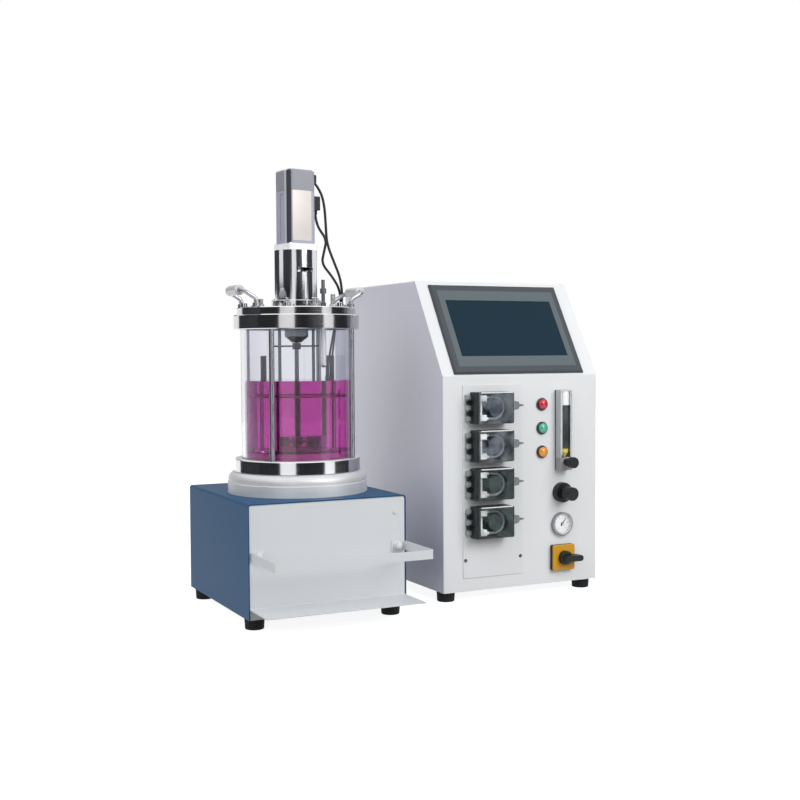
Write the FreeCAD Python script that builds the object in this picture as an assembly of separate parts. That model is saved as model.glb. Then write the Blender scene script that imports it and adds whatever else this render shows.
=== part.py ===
import FreeCAD, Part
import math
import os

from FreeCAD import Vector

# Bench bioreactor: a stirred glass vessel on its base station, beside the control cabinet.
# Millimetres; +X to the right, +Y to the back, +Z up, origin at the middle of the footprint.

# ---- driving dimensions: layout ----
foot_h = 20.0
unit_gap = 106.0
station_lead = 53.0
rear_reach = 24.0

# ---- base station ----
station_w = 304.0
station_d = 354.0
station_h = 203.0
sheet = 2.0
station_corner_r = 5.0
panel_recess = 1.5
panel_gap = 0.5
shelf_reach = 85.0
shelf_rise = 20.0
rail_reach = 119.0
rail_inset = 4.0
rail_h = 16.0
rail_rise = 103.0
rail_corner_r = 5.0
rail_tab = 24.0
stud_r = 2.5
nut_r = 8.0
nut_h = 12.0

# ---- rubber feet ----
foot_r = 18.0
foot_side_inset = 19.5
foot_end_inset = 28.0

# ---- vessel ----
vessel_forward = 13.0
vessel_shift = 4.0
dais_r = 132.0
dais_band_h = 21.0
dais_h = 39.0
flange_r = 118.5
flange_h = 25.0
glass_r = 104.5
glass_wall = 6.0
glass_show_h = 241.0
ring_h = 27.0
ring_opening_r = 96.0
lid_r = 112.0
lid_h = 14.0
lid_spigot_h = 6.0
groove_depth = 3.0
groove_gap = 0.5
gasket_t = 1.5
rod_circle_r = 111.7
rod_r = 5.0
rod_end_r = 4.0
rod_end_length = 12.0
rod_count = 4
lid_screw_circle_r = 103.5
lid_screw_count = 6
screw_r = 4.0
screw_head_r = 6.5
screw_head_h = 8.0
liquid_depth = 146.0

# ---- lid handles ----
handle_foot_x = 94.0
handle_foot_y = 42.0
handle_grip_x = 121.0
handle_grip_rise = 31.0
handle_rod_r = 4.0
handle_bend_r = 12.0
handle_boss_r = 7.0
handle_boss_h = 8.0
grip_r = 9.5
grip_length = 56.0

# ---- pieces inside the vessel ----
shaft_r = 4.0
running_gap = 0.05
fit_gap = 0.2
seal_r = 22.5
seal_drop = 42.0
seal_nose_h = 9.0
seal_nose_r = 9.0
impeller_r = 40.0
impeller_rise = 31.0
impeller_disc_r = 29.0
impeller_blade_h = 20.0
impeller_blade_l = 18.0
impeller_blade_t = 1.5
impeller_blades = 6
shaft_tail = 5.0
breaker_rise = 210.0
breaker_length = 86.0
breaker_w = 14.0
breaker_t = 3.0
breaker_hub_r = 8.0
baffle_r = 88.0
baffle_w = 9.0
baffle_t = 2.0
baffle_h = 192.0
baffle_turn = 25.0
baffle_count = 4
baffle_ring_h = 3.0
baffle_ring_w = 8.0
sparger_r = 57.0
sparger_tube_r = 4.0
sparger_rise = 12.0
dip_tube_r = 3.0
sparger_pipe_angle = 216.0
thermowell_angle = 34.0
thermowell_rise = 22.0
probe_r = 5.5
probe_stem_r = 3.5
probe_collar_r = 6.0
probe_x = 54.0
probe_y = -3.0
probe_tip_rise = 169.0
probe_top_rise = 54.0

# ---- stirrer drive ----
drive_flange_r = 47.0
drive_flange_h = 14.0
housing_r = 40.0
housing_bore_r = 29.0
housing_h = 107.5
window_w = 34.0
window_h = 8.5
window_rise = 66.0
window_turn = 6.0
drive_screw_circle_r = 43.4
drive_screw_count = 4
drive_screw_head_r = 2.9
drive_screw_head_h = 4.0
motor_turn = 10.0
motor_flange_w = 61.0
motor_flange_h = 12.0
motor_w = 57.0
motor_corner = 6.0
motor_body_h = 99.0
motor_groove_w = 16.0
motor_groove_depth = 1.2
encoder_h = 39.0
encoder_bevel = 3.0
seam_w = 1.0
coupling_r = 14.0
coupling_l = 44.0
coupling_slit = 1.6
shaft_join_rise = 58.0
motor_shaft_r = 7.0

# ---- control cabinet ----
cabinet_w = 353.0
cabinet_d = 461.0
cabinet_h = 606.0
front_h = 417.0
slope_run = 117.0
fascia_t = 2.5
cabinet_corner_r = 3.0
vent_count = 9
vent_pitch = 12.0
vent_w = 120.0
vent_h = 4.0
vent_rise = 356.0

# ---- operator screen ----
screen_w = 296.0
screen_h = 207.0
screen_left = 26.0
screen_start = 4.0
bezel_t = 6.0
bezel_edge = 3.0
glass_side = 26.0
glass_end = 38.0
glass_step = 2.0
glass_t = 1.2
screen_case_side = 12.0
screen_case_t = 36.0

# ---- peristaltic pumps ----
pump_count = 4
pump_pitch = 73.6
pump_margin = 43.7
pump_x = 98.0
pump_body_w = 80.0
pump_body_h = 61.0
pump_body_t = 32.0
pump_corner_r = 4.0
pump_race_depth = 20.0
pump_race_r = 25.0
pump_race_wall = 5.0
pump_tube_r = 3.5
pump_tube_bend_r = 21.3
clip_w = 15.0
clip_h = 12.0
clip_bar_w = 8.0
clip_bar_drop = 7.0
clip_top_drop = 0.5
roller_count = 3
roller_r = 4.5
roller_circle_r = 13.0
roller_l = 13.0
rotor_disc_t = 2.0
rotor_hub_r = 6.0
rotor_shaft_r = 3.0
cover_t = 2.5
cover_gap = 0.5
hinge_x = 8.0
hinge_depth = 8.0
hinge_pin_r = 1.5
hinge_barrel_r = 3.2
lug_h = 8.0
lug_spread = 21.0
latch_reach = 20.0
latch_rise = 4.0
gearmotor_r = 18.0
gearmotor_l = 62.0
pump_panel_left = 42.5
pump_panel_w = 133.5
pump_panel_low = 26.0
pump_panel_h = 374.0
pump_panel_t = 2.0
pump_cutout_side = 12.0

# ---- lamps, flow meter, regulator, gauge and switch ----
lamp_x = 222.5
lamp_lift = 3.0
lamp_pitch = 47.4
lamp_bezel_r = 12.0
lamp_bezel_t = 3.0
lamp_lens_r = 9.8
lamp_lens_h = 9.0
lamp_stem_r = 8.0
lamp_stem_l = 30.0
meter_x = 268.0
meter_z = 227.0
meter_w = 28.0
meter_h = 160.0
meter_t = 20.0
meter_foot_h = 26.0
meter_edge_h = 3.0
meter_cap_r = 9.3
meter_cap_h = 27.0
meter_slot_w = 19.0
meter_slot_depth = 17.0
meter_tube_r = 9.0
meter_bore_r = 8.0
float_r = 7.7
float_h = 16.0
float_gap = 0.5
meter_knob_r = 11.0
meter_knob_l = 13.0
meter_bonnet_r = 6.5
meter_bonnet_l = 16.0
meter_knob_z = 17.0
knob_gap = 0.3
spindle_r = 3.0
spindle_l = 8.0
regulator_z = 181.5
regulator_ring_r = 20.0
regulator_ring_t = 13.0
regulator_neck_r = 10.5
regulator_neck_l = 10.0
regulator_knob_r = 13.5
regulator_knob_l = 22.0
regulator_body_l = 40.0
flute_count = 12
flute_r = 1.2
gauge_z = 118.0
gauge_r = 23.0
gauge_t = 9.5
gauge_rim = 3.0
gauge_face_depth = 5.0
gauge_stem_r = 20.0
gauge_stem_l = 22.0
needle_l = 14.5
needle_tail = 5.0
needle_w = 2.2
needle_t = 0.8
needle_rest = 38.0
needle_pin_r = 1.6
switch_z = 51.0
switch_plate_w = 51.0
switch_plate_t = 12.0
switch_hub_r = 14.0
switch_hub_t = 12.0
switch_lever_l = 31.0
switch_lever_tail = 11.0
switch_lever_w = 12.0
switch_lever_t = 12.0
switch_case_w = 44.0
switch_case_l = 50.0

# ---- rear fittings ----
inlet_x = 300.0
inlet_z = 46.0
inlet_w = 50.0
inlet_h = 28.0
inlet_t = 4.0
socket_w = 24.0
socket_h = 16.0
socket_depth = 14.0
plug_z = 42.0
encoder_plug_x = 91.0
motor_plug_x = 123.0
plug_r = 9.0
plug_tail_l = 10.0
plug_flange_w = 26.0
plug_flange_t = 2.0
barb_x = 220.0
barb_pitch = 32.0
barb_z = 46.0
barb_count = 2
barb_bore_r = 2.5
cable_r = 2.5

# ---- places worked out from the dimensions ----
overall_w = station_w + unit_gap + cabinet_w
overall_d = rail_reach + station_lead + cabinet_d + rear_reach
station_left = -overall_w / 2
station_right = station_left + station_w
station_front = -overall_d / 2 + rail_reach
station_back = station_front + station_d
station_top = foot_h + station_h
station_mid = (station_left + station_right) / 2
cabinet_left = overall_w / 2 - cabinet_w
cabinet_right = overall_w / 2
cabinet_front = station_front + station_lead
cabinet_back = cabinet_front + cabinet_d
cabinet_top = foot_h + cabinet_h
fold_z = foot_h + front_h
slope_angle = math.degrees(math.atan2(cabinet_top - fold_z, slope_run))
vessel_x = station_mid + vessel_shift
vessel_y = (station_front + station_back) / 2 - vessel_forward
flange_z = station_top + dais_h
floor_z = flange_z + flange_h
ring_z = floor_z + glass_show_h
lid_z = ring_z + ring_h
lid_top = lid_z + lid_h
glass_inner_r = glass_r - glass_wall
seal_low_z = lid_z - seal_drop
housing_top = lid_top + housing_h
motor_base = housing_top + motor_flange_h
encoder_z = motor_base + motor_body_h
motor_top = encoder_z + encoder_h
impeller_z = floor_z + impeller_rise
shaft_join_z = lid_top + shaft_join_rise
vessel_axis = Vector(vessel_x, vessel_y, 0)

folder = "parts"
os.makedirs(folder, exist_ok=True)


# ---- shape helpers ----
def save(name, *solids):
    """Write the solids of one node to its STEP file."""
    shape = solids[0] if len(solids) == 1 else Part.makeCompound(list(solids))
    shape.exportStep(os.path.join(folder, name + ".step"))


def block(x, y, z):
    """A box from its low and high value along each axis."""
    return Part.makeBox(x[1] - x[0], y[1] - y[0], z[1] - z[0], Vector(x[0], y[0], z[0]))


def rod(radius, base, direction, length):
    return Part.makeCylinder(radius, length, base, direction)


def upright(radius, low, high, x=0.0, y=0.0):
    """A vertical cylinder given beside the vessel's axis."""
    return rod(radius, vessel_axis + Vector(x, y, low), Vector(0, 0, 1), high - low)


def outline(start, *steps):
    """A face in the XZ plane: a step is a corner, or a pair of points for an arc."""
    here = Vector(start[0], 0, start[1])
    edges = []
    for step in list(steps) + [start]:
        if isinstance(step[0], tuple):
            middle = Vector(step[0][0], 0, step[0][1])
            there = Vector(step[1][0], 0, step[1][1])
            edges.append(Part.Arc(here, middle, there).toShape())
        else:
            there = Vector(step[0], 0, step[1])
            if there.distanceToPoint(here) > 1e-6:
                edges.append(Part.makeLine(here, there))
        here = there
    return Part.Face(Part.Wire(edges))


def turned(start, *steps):
    """A solid of revolution about +Z from an outline of radius and height."""
    return outline(start, *steps).revolve(Vector(0, 0, 0), Vector(0, 0, 1), 360)


def dome(radius, low, high):
    """Arc of a spherical cap for turned: its middle and its end on the axis."""
    rise = high - low
    ball = (radius ** 2 + rise ** 2) / (2 * rise)
    half = math.asin(radius / ball) / 2
    return (ball * math.sin(half), high - ball * (1 - math.cos(half))), (0, high)


def at_vessel(shape, angle=0.0):
    shape.Placement = FreeCAD.Placement(vessel_axis, FreeCAD.Rotation(Vector(0, 0, 1), angle))
    return shape


def on_front(shape, x, z, y=None):
    """Stand a shape built about +Z on the cabinet's front face, at x and z from its lower left corner."""
    spot = Vector(cabinet_left + x, cabinet_front if y is None else y, foot_h + z)
    place = FreeCAD.Placement(spot, FreeCAD.Rotation(Vector(1, 0, 0), 90))
    shape.Placement = place.multiply(shape.Placement)
    return shape


def rounded(shape, radius, chosen):
    edges = [edge for edge in shape.Edges if chosen(edge)]
    return shape.makeFillet(radius, edges)


def bevelled(shape, size, chosen):
    edges = [edge for edge in shape.Edges if chosen(edge)]
    return shape.makeChamfer(size, edges)


def runs_along(axis):
    """Pick straight edges that are parallel to one axis."""
    def chosen(edge):
        if len(edge.Vertexes) < 2:
            return False
        span = edge.Vertexes[1].Point - edge.Vertexes[0].Point
        return abs(abs(span.dot(axis)) - span.Length) < 1e-6
    return chosen


def lies_at(axis, value):
    """Pick edges that lie wholly at one height along an axis."""
    def chosen(edge):
        return all(abs(vertex.Point.dot(axis) - value) < 1e-6 for vertex in edge.Vertexes)
    return chosen


def bent_path(points, radii):
    """Straight runs joined by tangent arcs of the given radii."""
    edges = []
    here = points[0]
    for index in range(1, len(points) - 1):
        corner = points[index]
        back = (points[index - 1] - corner).normalize()
        ahead = (points[index + 1] - corner).normalize()
        half = (math.pi - back.getAngle(ahead)) / 2
        cut = radii[index - 1] * math.tan(half)
        first = corner + back * cut
        last = corner + ahead * cut
        inward = (back + ahead).normalize()
        middle = corner + inward * (radii[index - 1] / math.cos(half) - radii[index - 1])
        edges.append(Part.makeLine(here, first))
        edges.append(Part.Arc(first, middle, last).toShape())
        here = last
    edges.append(Part.makeLine(here, points[-1]))
    return Part.Wire(edges)


def bent_bar(path, radius):
    """A round bar or tube swept along a path of runs and arcs."""
    start = path.Edges[0]
    ring = Part.makeCircle(radius, start.valueAt(start.FirstParameter),
                           start.tangentAt(start.FirstParameter))
    return path.makePipeShell([Part.Wire(ring)], True, False)


def ring_places(count, radius, turn=0.0):
    """Places on a circle about the vessel's axis."""
    for index in range(count):
        angle = math.radians(turn + index * 360 / count)
        yield radius * math.cos(angle), radius * math.sin(angle)


# ---- base station ----
def station_cover():
    outer = block((station_left, station_right), (station_front, station_back), (foot_h, station_top))
    top_edge = lies_at(Vector(0, 0, 1), station_top)
    lengthwise = runs_along(Vector(0, 1, 0))
    outer = rounded(outer, station_corner_r, lambda edge: top_edge(edge) and lengthwise(edge))
    inner = block((station_left + sheet, station_right - sheet),
                  (station_front - 1, station_back + 1), (foot_h - 1, station_top - sheet))
    inner_edge = lies_at(Vector(0, 0, 1), station_top - sheet)
    inner = rounded(inner, station_corner_r - sheet,
                    lambda edge: inner_edge(edge) and lengthwise(edge))
    return outer.cut(inner)


def station_chassis():
    """One folded sheet: front lip, floor and back."""
    low, high = foot_h, station_top - sheet
    front = station_front + panel_recess + sheet
    lip = foot_h + shelf_rise
    left, right = station_left + sheet, station_right - sheet
    floor = block((left, right), (front, station_back), (low, low + sheet))
    lip_sheet = block((left, right), (front, front + sheet), (low, lip))
    back = block((left, right), (station_back - sheet, station_back), (low, high - station_corner_r))
    return floor.fuse([lip_sheet, back]).removeSplitter()


def stud_places():
    """Where the rail's two thumb nuts pass through the front panel."""
    for side in (-1, 1):
        x = station_mid + side * (station_w / 2 - rail_inset - sheet - rail_tab / 2)
        yield x, foot_h + rail_rise + rail_h / 2


def station_front_panel():
    """The front sheet, folded forward at its foot into the bottle shelf."""
    face = station_front + panel_recess
    shelf = foot_h + shelf_rise
    top = station_top - sheet - panel_gap
    left = station_left + sheet + panel_gap
    right = station_right - sheet - panel_gap
    tip = station_front - shelf_reach
    bend = 3.0
    inside = bend - sheet
    slant = math.sqrt(0.5)
    outer_mid = (face + sheet - bend * (1 - slant), shelf - sheet + bend * (1 - slant))
    inner_mid = (face - inside * (1 - slant), shelf + inside * (1 - slant))
    side = outline((tip, shelf - sheet), (face + sheet - bend, shelf - sheet),
                   (outer_mid, (face + sheet, shelf - sheet + bend)),
                   (face + sheet, top), (face, top), (face, shelf + inside),
                   (inner_mid, (face - inside, shelf)), (tip, shelf))
    side.rotate(Vector(0, 0, 0), Vector(0, 0, 1), 90)
    panel = side.extrude(Vector(right - left, 0, 0))
    panel.translate(Vector(left, 0, 0))
    for x, z in stud_places():
        hole = rod(stud_r + fit_gap, Vector(x, face - 1, z), Vector(0, 1, 0), sheet + 2)
        panel = panel.cut(hole)
    top_edge = lies_at(Vector(0, 0, 1), top)
    across = runs_along(Vector(0, 1, 0))
    return rounded(panel, station_corner_r - sheet, lambda edge: top_edge(edge) and across(edge))


def bottle_rail():
    """A bent strip that keeps bottles on the shelf."""
    low = foot_h + rail_rise
    left, right = station_left + rail_inset, station_right - rail_inset
    face = station_front + panel_recess
    tip = station_front - rail_reach
    posts = runs_along(Vector(0, 0, 1))
    strip = rounded(block((left, right), (tip, face), (low, low + rail_h)), rail_corner_r, posts)
    hollow = block((left + sheet, right - sheet), (tip + sheet, face - sheet),
                   (low - 1, low + rail_h + 1))
    strip = strip.cut(rounded(hollow, rail_corner_r - sheet, posts))
    strip = strip.cut(block((left + sheet + rail_tab, right - sheet - rail_tab),
                            (face - 2 * sheet, face + 1), (low - 1, low + rail_h + 1)))
    for x, z in stud_places():
        hole = rod(stud_r + fit_gap, Vector(x, face - sheet - 1, z), Vector(0, 1, 0), sheet + 2)
        strip = strip.cut(hole)
    return strip


def thumb_nut(x, z):
    """A domed thumb nut with its stud through the rail's tab and the panel."""
    seat = station_front + panel_recess - sheet
    stud_l = 2 * sheet + panel_gap
    waist_r = nut_r * 0.8
    body = turned((0, -stud_l), (stud_r, -stud_l), (stud_r, 0), (nut_r, 0), (nut_r, 3),
                  (waist_r, 4), (waist_r, nut_h - 3), dome(waist_r, nut_h - 3, nut_h))
    body.Placement = FreeCAD.Placement(Vector(x, seat, z), FreeCAD.Rotation(Vector(1, 0, 0), 90))
    return body


def rubber_foot(x, y):
    foot = turned((0, 0), (foot_r - 3, 0), ((foot_r - 1.6, 0.5), (foot_r - 1, 2)),
                  (foot_r, foot_h - 2), (foot_r - 1, foot_h), (0, foot_h))
    foot.translate(Vector(x, y, 0))
    return foot


def foot_places():
    for left, right, front, back in ((station_left, station_right, station_front, station_back),
                                     (cabinet_left, cabinet_right, cabinet_front, cabinet_back)):
        for x in (left + foot_side_inset, right - foot_side_inset):
            for y in (front + foot_end_inset, back - foot_end_inset):
                yield x, y


save("station_cover", station_cover())
save("station_chassis", station_chassis())
save("station_front_panel", station_front_panel())
save("bottle_rail", bottle_rail(), *[thumb_nut(x, z) for x, z in stud_places()])
save("rubber_feet", *[rubber_foot(x, y) for x, y in foot_places()])


# ---- vessel ----
def heating_dais():
    """Turned dais: straight band below, rounded shoulder up to the vessel's seat."""
    band = station_top + dais_band_h
    top = station_top + dais_h
    neck = dais_r - 1.5
    seat = flange_r + 3
    middle = (neck - (neck - seat) * 0.18, band + 2 + (top - band - 2) * 0.62)
    shape = turned((0, station_top), (dais_r, station_top), (dais_r, band - 1), (dais_r - 1, band),
                   (neck, band), (neck, band + 2), (middle, (seat, top)), (0, top))
    return at_vessel(shape)


def groove(low, high):
    """The ring-shaped space that the glass and its gasket sit in."""
    inner, outer = glass_inner_r - groove_gap, glass_r + groove_gap
    return at_vessel(turned((inner, low), (outer, low), (outer, high), (inner, high)))


def rod_holes(low, high):
    return [upright(rod_end_r + fit_gap, low, high, x, y)
            for x, y in ring_places(rod_count, rod_circle_r, 45)]


def bottom_flange():
    edge = 1.5
    shape = turned((0, flange_z), (flange_r - edge, flange_z), (flange_r, flange_z + edge),
                   (flange_r, floor_z - edge), (flange_r - edge, floor_z), (0, floor_z))
    cuts = [groove(floor_z - groove_depth, floor_z + 1)]
    cuts += rod_holes(floor_z - rod_end_length, floor_z + 1)
    return at_vessel(shape).cut(cuts)


def vessel_glass():
    low = floor_z - groove_depth + gasket_t
    high = ring_z + groove_depth - gasket_t
    return at_vessel(turned((glass_inner_r, low), (glass_r, low), (glass_r, high), (glass_inner_r, high)))


def flat_gasket(low):
    return at_vessel(turned((glass_inner_r, low), (glass_r, low),
                            (glass_r, low + gasket_t), (glass_inner_r, low + gasket_t)))


def top_ring():
    edge = 1.5
    shape = turned((ring_opening_r, ring_z), (flange_r - edge, ring_z), (flange_r, ring_z + edge),
                   (flange_r, lid_z - edge), (flange_r - edge, lid_z), (ring_opening_r, lid_z))
    cuts = [groove(ring_z - 1, ring_z + groove_depth)]
    cuts += rod_holes(ring_z - 1, ring_z + rod_end_length)
    cuts += [upright(screw_r + fit_gap, lid_z - rod_end_length, lid_z + 1, x, y)
             for x, y in ring_places(lid_screw_count, lid_screw_circle_r)]
    return at_vessel(shape).cut(cuts)


def tie_rod(x, y):
    middle = upright(rod_r, floor_z, ring_z, x, y)
    low_end = upright(rod_end_r, floor_z - rod_end_length + 1, floor_z, x, y)
    high_end = upright(rod_end_r, ring_z, ring_z + rod_end_length - 1, x, y)
    return middle.fuse([low_end, high_end])


# port name: place beside the vessel's axis, hole radius
port_holes = {
    "sampling": (15.0, -54.0, dip_tube_r),
    "white": (66.0, -22.0, dip_tube_r),
    "exhaust": (-20.0, 62.0, dip_tube_r),
    "feed": (18.0, 66.0, dip_tube_r),
    "inoculation": (-62.0, 24.0, dip_tube_r),
}


def tube_places():
    """The two long dip tubes: the sparger's pipe and the thermometer well."""
    for angle in (sparger_pipe_angle, thermowell_angle):
        turn = math.radians(angle)
        yield sparger_r * math.cos(turn), sparger_r * math.sin(turn)


def lid_plate():
    edge = 1.5
    spigot_r = ring_opening_r - fit_gap
    shape = turned((seal_r + fit_gap, lid_z - lid_spigot_h), (spigot_r, lid_z - lid_spigot_h),
                   (spigot_r, lid_z), (lid_r, lid_z), (lid_r, lid_top - edge),
                   (lid_r - edge, lid_top), (seal_r + fit_gap, lid_top))
    low, high = lid_z - lid_spigot_h - 1, lid_top + 1
    cuts = [upright(screw_r + fit_gap, low, high, x, y)
            for x, y in ring_places(lid_screw_count, lid_screw_circle_r)]
    cuts += [upright(radius + fit_gap, low, high, x, y) for x, y, radius in port_holes.values()]
    cuts += [upright(dip_tube_r + fit_gap, low, high, x, y) for x, y in tube_places()]
    cuts.append(upright(probe_r + fit_gap, low, high, probe_x, probe_y))
    return at_vessel(shape).cut(cuts)


def hexagon_head(across, low, high, x, y):
    points = []
    for corner in range(7):
        angle = math.radians(corner * 60)
        points.append(vessel_axis + Vector(x + across * math.cos(angle), y + across * math.sin(angle), low))
    return Part.Face(Part.makePolygon(points)).extrude(Vector(0, 0, high - low))


def cap_screw(x, y, head_r, head_h, shank_r, seat, shank_l):
    """A socket head cap screw, standing head up on its seat."""
    head = upright(head_r, seat, seat + head_h, x, y)
    head = bevelled(head, 0.6, lies_at(Vector(0, 0, 1), seat + head_h))
    key = hexagon_head(head_r * 0.55, seat + head_h / 2, seat + head_h + 1, x, y)
    return head.fuse(upright(shank_r, seat - shank_l, seat, x, y)).cut(key)


save("heating_dais", heating_dais())
save("bottom_flange", bottom_flange())
save("vessel_glass", vessel_glass())
save("vessel_gaskets", flat_gasket(floor_z - groove_depth), flat_gasket(ring_z + groove_depth - gasket_t))
save("top_ring", top_ring())
save("tie_rods", *[tie_rod(x, y) for x, y in ring_places(rod_count, rod_circle_r, 45)])
save("lid_plate", lid_plate())
save("lid_screws",
     *[cap_screw(x, y, screw_head_r, screw_head_h, screw_r, lid_top, lid_h + rod_end_length - 2)
       for x, y in ring_places(lid_screw_count, lid_screw_circle_r)],
     *[cap_screw(x, y, drive_screw_head_r, drive_screw_head_h, 2.0, lid_top + drive_flange_h, 10.0)
       for x, y in ring_places(drive_screw_count, drive_screw_circle_r, 45)])


# ---- lid handles ----
def handle_points(side):
    """The bail's corners, from its front foot round the grip to its back foot."""
    foot = lid_top + 2
    knee = lid_top + handle_grip_rise / 2
    top = lid_top + handle_grip_rise
    spots = [(handle_foot_x, -handle_foot_y, foot), (handle_foot_x, -handle_foot_y, knee),
             (handle_grip_x, -handle_foot_y, top), (handle_grip_x, handle_foot_y, top),
             (handle_foot_x, handle_foot_y, knee), (handle_foot_x, handle_foot_y, foot)]
    return [vessel_axis + Vector(side * x, y, z) for x, y, z in spots]


def handle_bail(side):
    bail = bent_bar(bent_path(handle_points(side), [handle_bend_r] * 4), handle_rod_r)
    bosses = [upright(handle_boss_r, lid_top, lid_top + handle_boss_h, side * handle_foot_x, y)
              for y in (-handle_foot_y, handle_foot_y)]
    bosses = [bevelled(boss, 1.0, lies_at(Vector(0, 0, 1), lid_top + handle_boss_h)) for boss in bosses]
    return bail.fuse(bosses)


def handle_grip(side):
    bore = handle_rod_r + fit_gap
    half = grip_length / 2
    sleeve = turned((bore, -half), (grip_r - 1.5, -half), (grip_r, 1.5 - half),
                    (grip_r, half - 1.5), (grip_r - 1.5, half), (bore, half))
    spot = vessel_axis + Vector(side * handle_grip_x, 0, lid_top + handle_grip_rise)
    sleeve.Placement = FreeCAD.Placement(spot, FreeCAD.Rotation(Vector(1, 0, 0), 90))
    return sleeve


save("handle_bails", handle_bail(-1), handle_bail(1))
save("handle_grips", handle_grip(-1), handle_grip(1))


# ---- pieces inside the vessel ----
def seal_housing():
    """Bearing and shaft seal housing, hung through the middle of the lid."""
    bore = shaft_r + running_gap
    low = seal_low_z
    return at_vessel(turned((bore, low - seal_nose_h), (seal_nose_r, low - seal_nose_h), (seal_r - 2, low),
                            (seal_r, low + 2), (seal_r, lid_top), (bore, lid_top)))


def stirrer_shaft():
    low = impeller_z - shaft_tail - impeller_blade_h / 2
    return bevelled(upright(shaft_r, low, shaft_join_z), 0.8, lies_at(Vector(0, 0, 1), low))


def impeller():
    """Disc turbine with flat blades on its rim."""
    hub_h = impeller_blade_h * 0.8
    bore = shaft_r + fit_gap
    wheel = turned((bore, -hub_h / 2), (bore + 5, -hub_h / 2), (bore + 5, -1), (impeller_disc_r, -1),
                   (impeller_disc_r, 1), (bore + 5, 1), (bore + 5, hub_h / 2), (bore, hub_h / 2))
    for index in range(impeller_blades):
        blade = block((impeller_r - impeller_blade_l, impeller_r),
                      (-impeller_blade_t / 2, impeller_blade_t / 2),
                      (-impeller_blade_h / 2, impeller_blade_h / 2))
        blade.rotate(Vector(0, 0, 0), Vector(0, 0, 1), index * 360 / impeller_blades)
        wheel = wheel.fuse(blade)
    wheel.translate(vessel_axis + Vector(0, 0, impeller_z))
    return wheel


def foam_breaker():
    """A flat two-armed blade on its own hub, above the liquid."""
    height = floor_z + breaker_rise
    bore = shaft_r + fit_gap
    hub = turned((bore, -6), (breaker_hub_r, -6), (breaker_hub_r, 6), (bore, 6))
    arms = block((-breaker_length / 2, breaker_length / 2), (-breaker_w / 2, breaker_w / 2),
                 (-breaker_t / 2, breaker_t / 2))
    arms = rounded(arms, breaker_w / 2 - 1, runs_along(Vector(0, 0, 1)))
    arms.rotate(Vector(0, 0, 0), Vector(0, 0, 1), -20)
    blade = hub.fuse(arms).cut(rod(bore, Vector(0, 0, -7), Vector(0, 0, 1), 14))
    blade.translate(vessel_axis + Vector(0, 0, height))
    return blade


def baffle_strip(angle, grow=0.0):
    strip = block((baffle_r - baffle_w / 2 - grow, baffle_r + baffle_w / 2 + grow),
                  (-baffle_t / 2 - grow, baffle_t / 2 + grow),
                  (floor_z - grow, floor_z + baffle_h + grow))
    return at_vessel(strip, angle)


def baffle_angles():
    return [baffle_turn + index * 360 / baffle_count for index in range(baffle_count)]


def baffle_hoop(low, grow=0.0):
    inner = baffle_r - baffle_ring_w / 2 - grow
    outer = baffle_r + baffle_ring_w / 2 + grow
    return at_vessel(turned((inner, low - grow), (outer, low - grow),
                            (outer, low + baffle_ring_h + grow), (inner, low + baffle_ring_h + grow)))


def baffle_cage(grow=0.0):
    """Flat strips welded to two hoops, standing on the vessel's floor."""
    hoops = [baffle_hoop(floor_z, grow), baffle_hoop(floor_z + baffle_h * 0.6, grow)]
    return hoops[0].fuse([hoops[1]] + [baffle_strip(angle, grow) for angle in baffle_angles()])


def sparger(grow=0.0):
    """Gas ring near the floor, with its pipe up through the lid."""
    ring = Part.makeTorus(sparger_r, sparger_tube_r + grow)
    ring.translate(vessel_axis + Vector(0, 0, floor_z + sparger_rise))
    x, y = list(tube_places())[0]
    pipe = upright(dip_tube_r + grow, floor_z + sparger_rise, lid_top + 12, x, y)
    return ring.fuse(pipe)


def thermowell(grow=0.0):
    x, y = list(tube_places())[1]
    return upright(dip_tube_r + grow, floor_z + thermowell_rise - grow, lid_top + 16, x, y)


def foam_probe():
    tip, top = floor_z + probe_tip_rise, lid_top + probe_top_rise
    collar = lid_top + 28
    shape = turned((0, tip), ((probe_r * 0.7, tip + probe_r * 0.3), (probe_r, tip + probe_r)),
                   (probe_r, lid_top + 10), (probe_stem_r, lid_top + 12), (probe_stem_r, collar),
                   (probe_collar_r, collar), (probe_collar_r, collar + 9), (probe_stem_r, collar + 11),
                   (probe_stem_r, top), (0, top))
    shape.translate(vessel_axis + Vector(probe_x, probe_y, 0))
    return shape


def tube_nut(x, y, radius):
    """A hexagon gland nut round a tube, on top of the lid."""
    nut = hexagon_head(radius + 4, lid_top, lid_top + 8, x, y)
    return nut.cut(upright(radius + fit_gap / 2, lid_top - 1, lid_top + 9, x, y))


def lid_port(name):
    """A short port: spigot in the lid, hexagon and a capped neck."""
    x, y, radius = port_holes[name]
    height = 27.0 if name == "white" else 18.0
    spigot = upright(radius, lid_z - lid_spigot_h, lid_top, x, y)
    nut = hexagon_head(radius + 4, lid_top, lid_top + 7, x, y)
    neck = upright(radius + 1.5, lid_top + 7, lid_top + height, x, y)
    neck = bevelled(neck, 1.0, lies_at(Vector(0, 0, 1), lid_top + height))
    return spigot.fuse([nut, neck])


def culture_broth():
    """The liquid, with room for everything that stands or turns in it."""
    gap = 0.3
    level = floor_z + liquid_depth
    liquid = upright(glass_inner_r - gap, floor_z + gap, level)
    low = impeller_z - impeller_blade_h / 2
    cuts = [upright(impeller_r + 1, low - shaft_tail - 1, low + impeller_blade_h + 1),
            upright(shaft_r + 1, low, level + 1),
            baffle_cage(gap), sparger(gap), thermowell(gap)]
    return liquid.cut(cuts)


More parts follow.
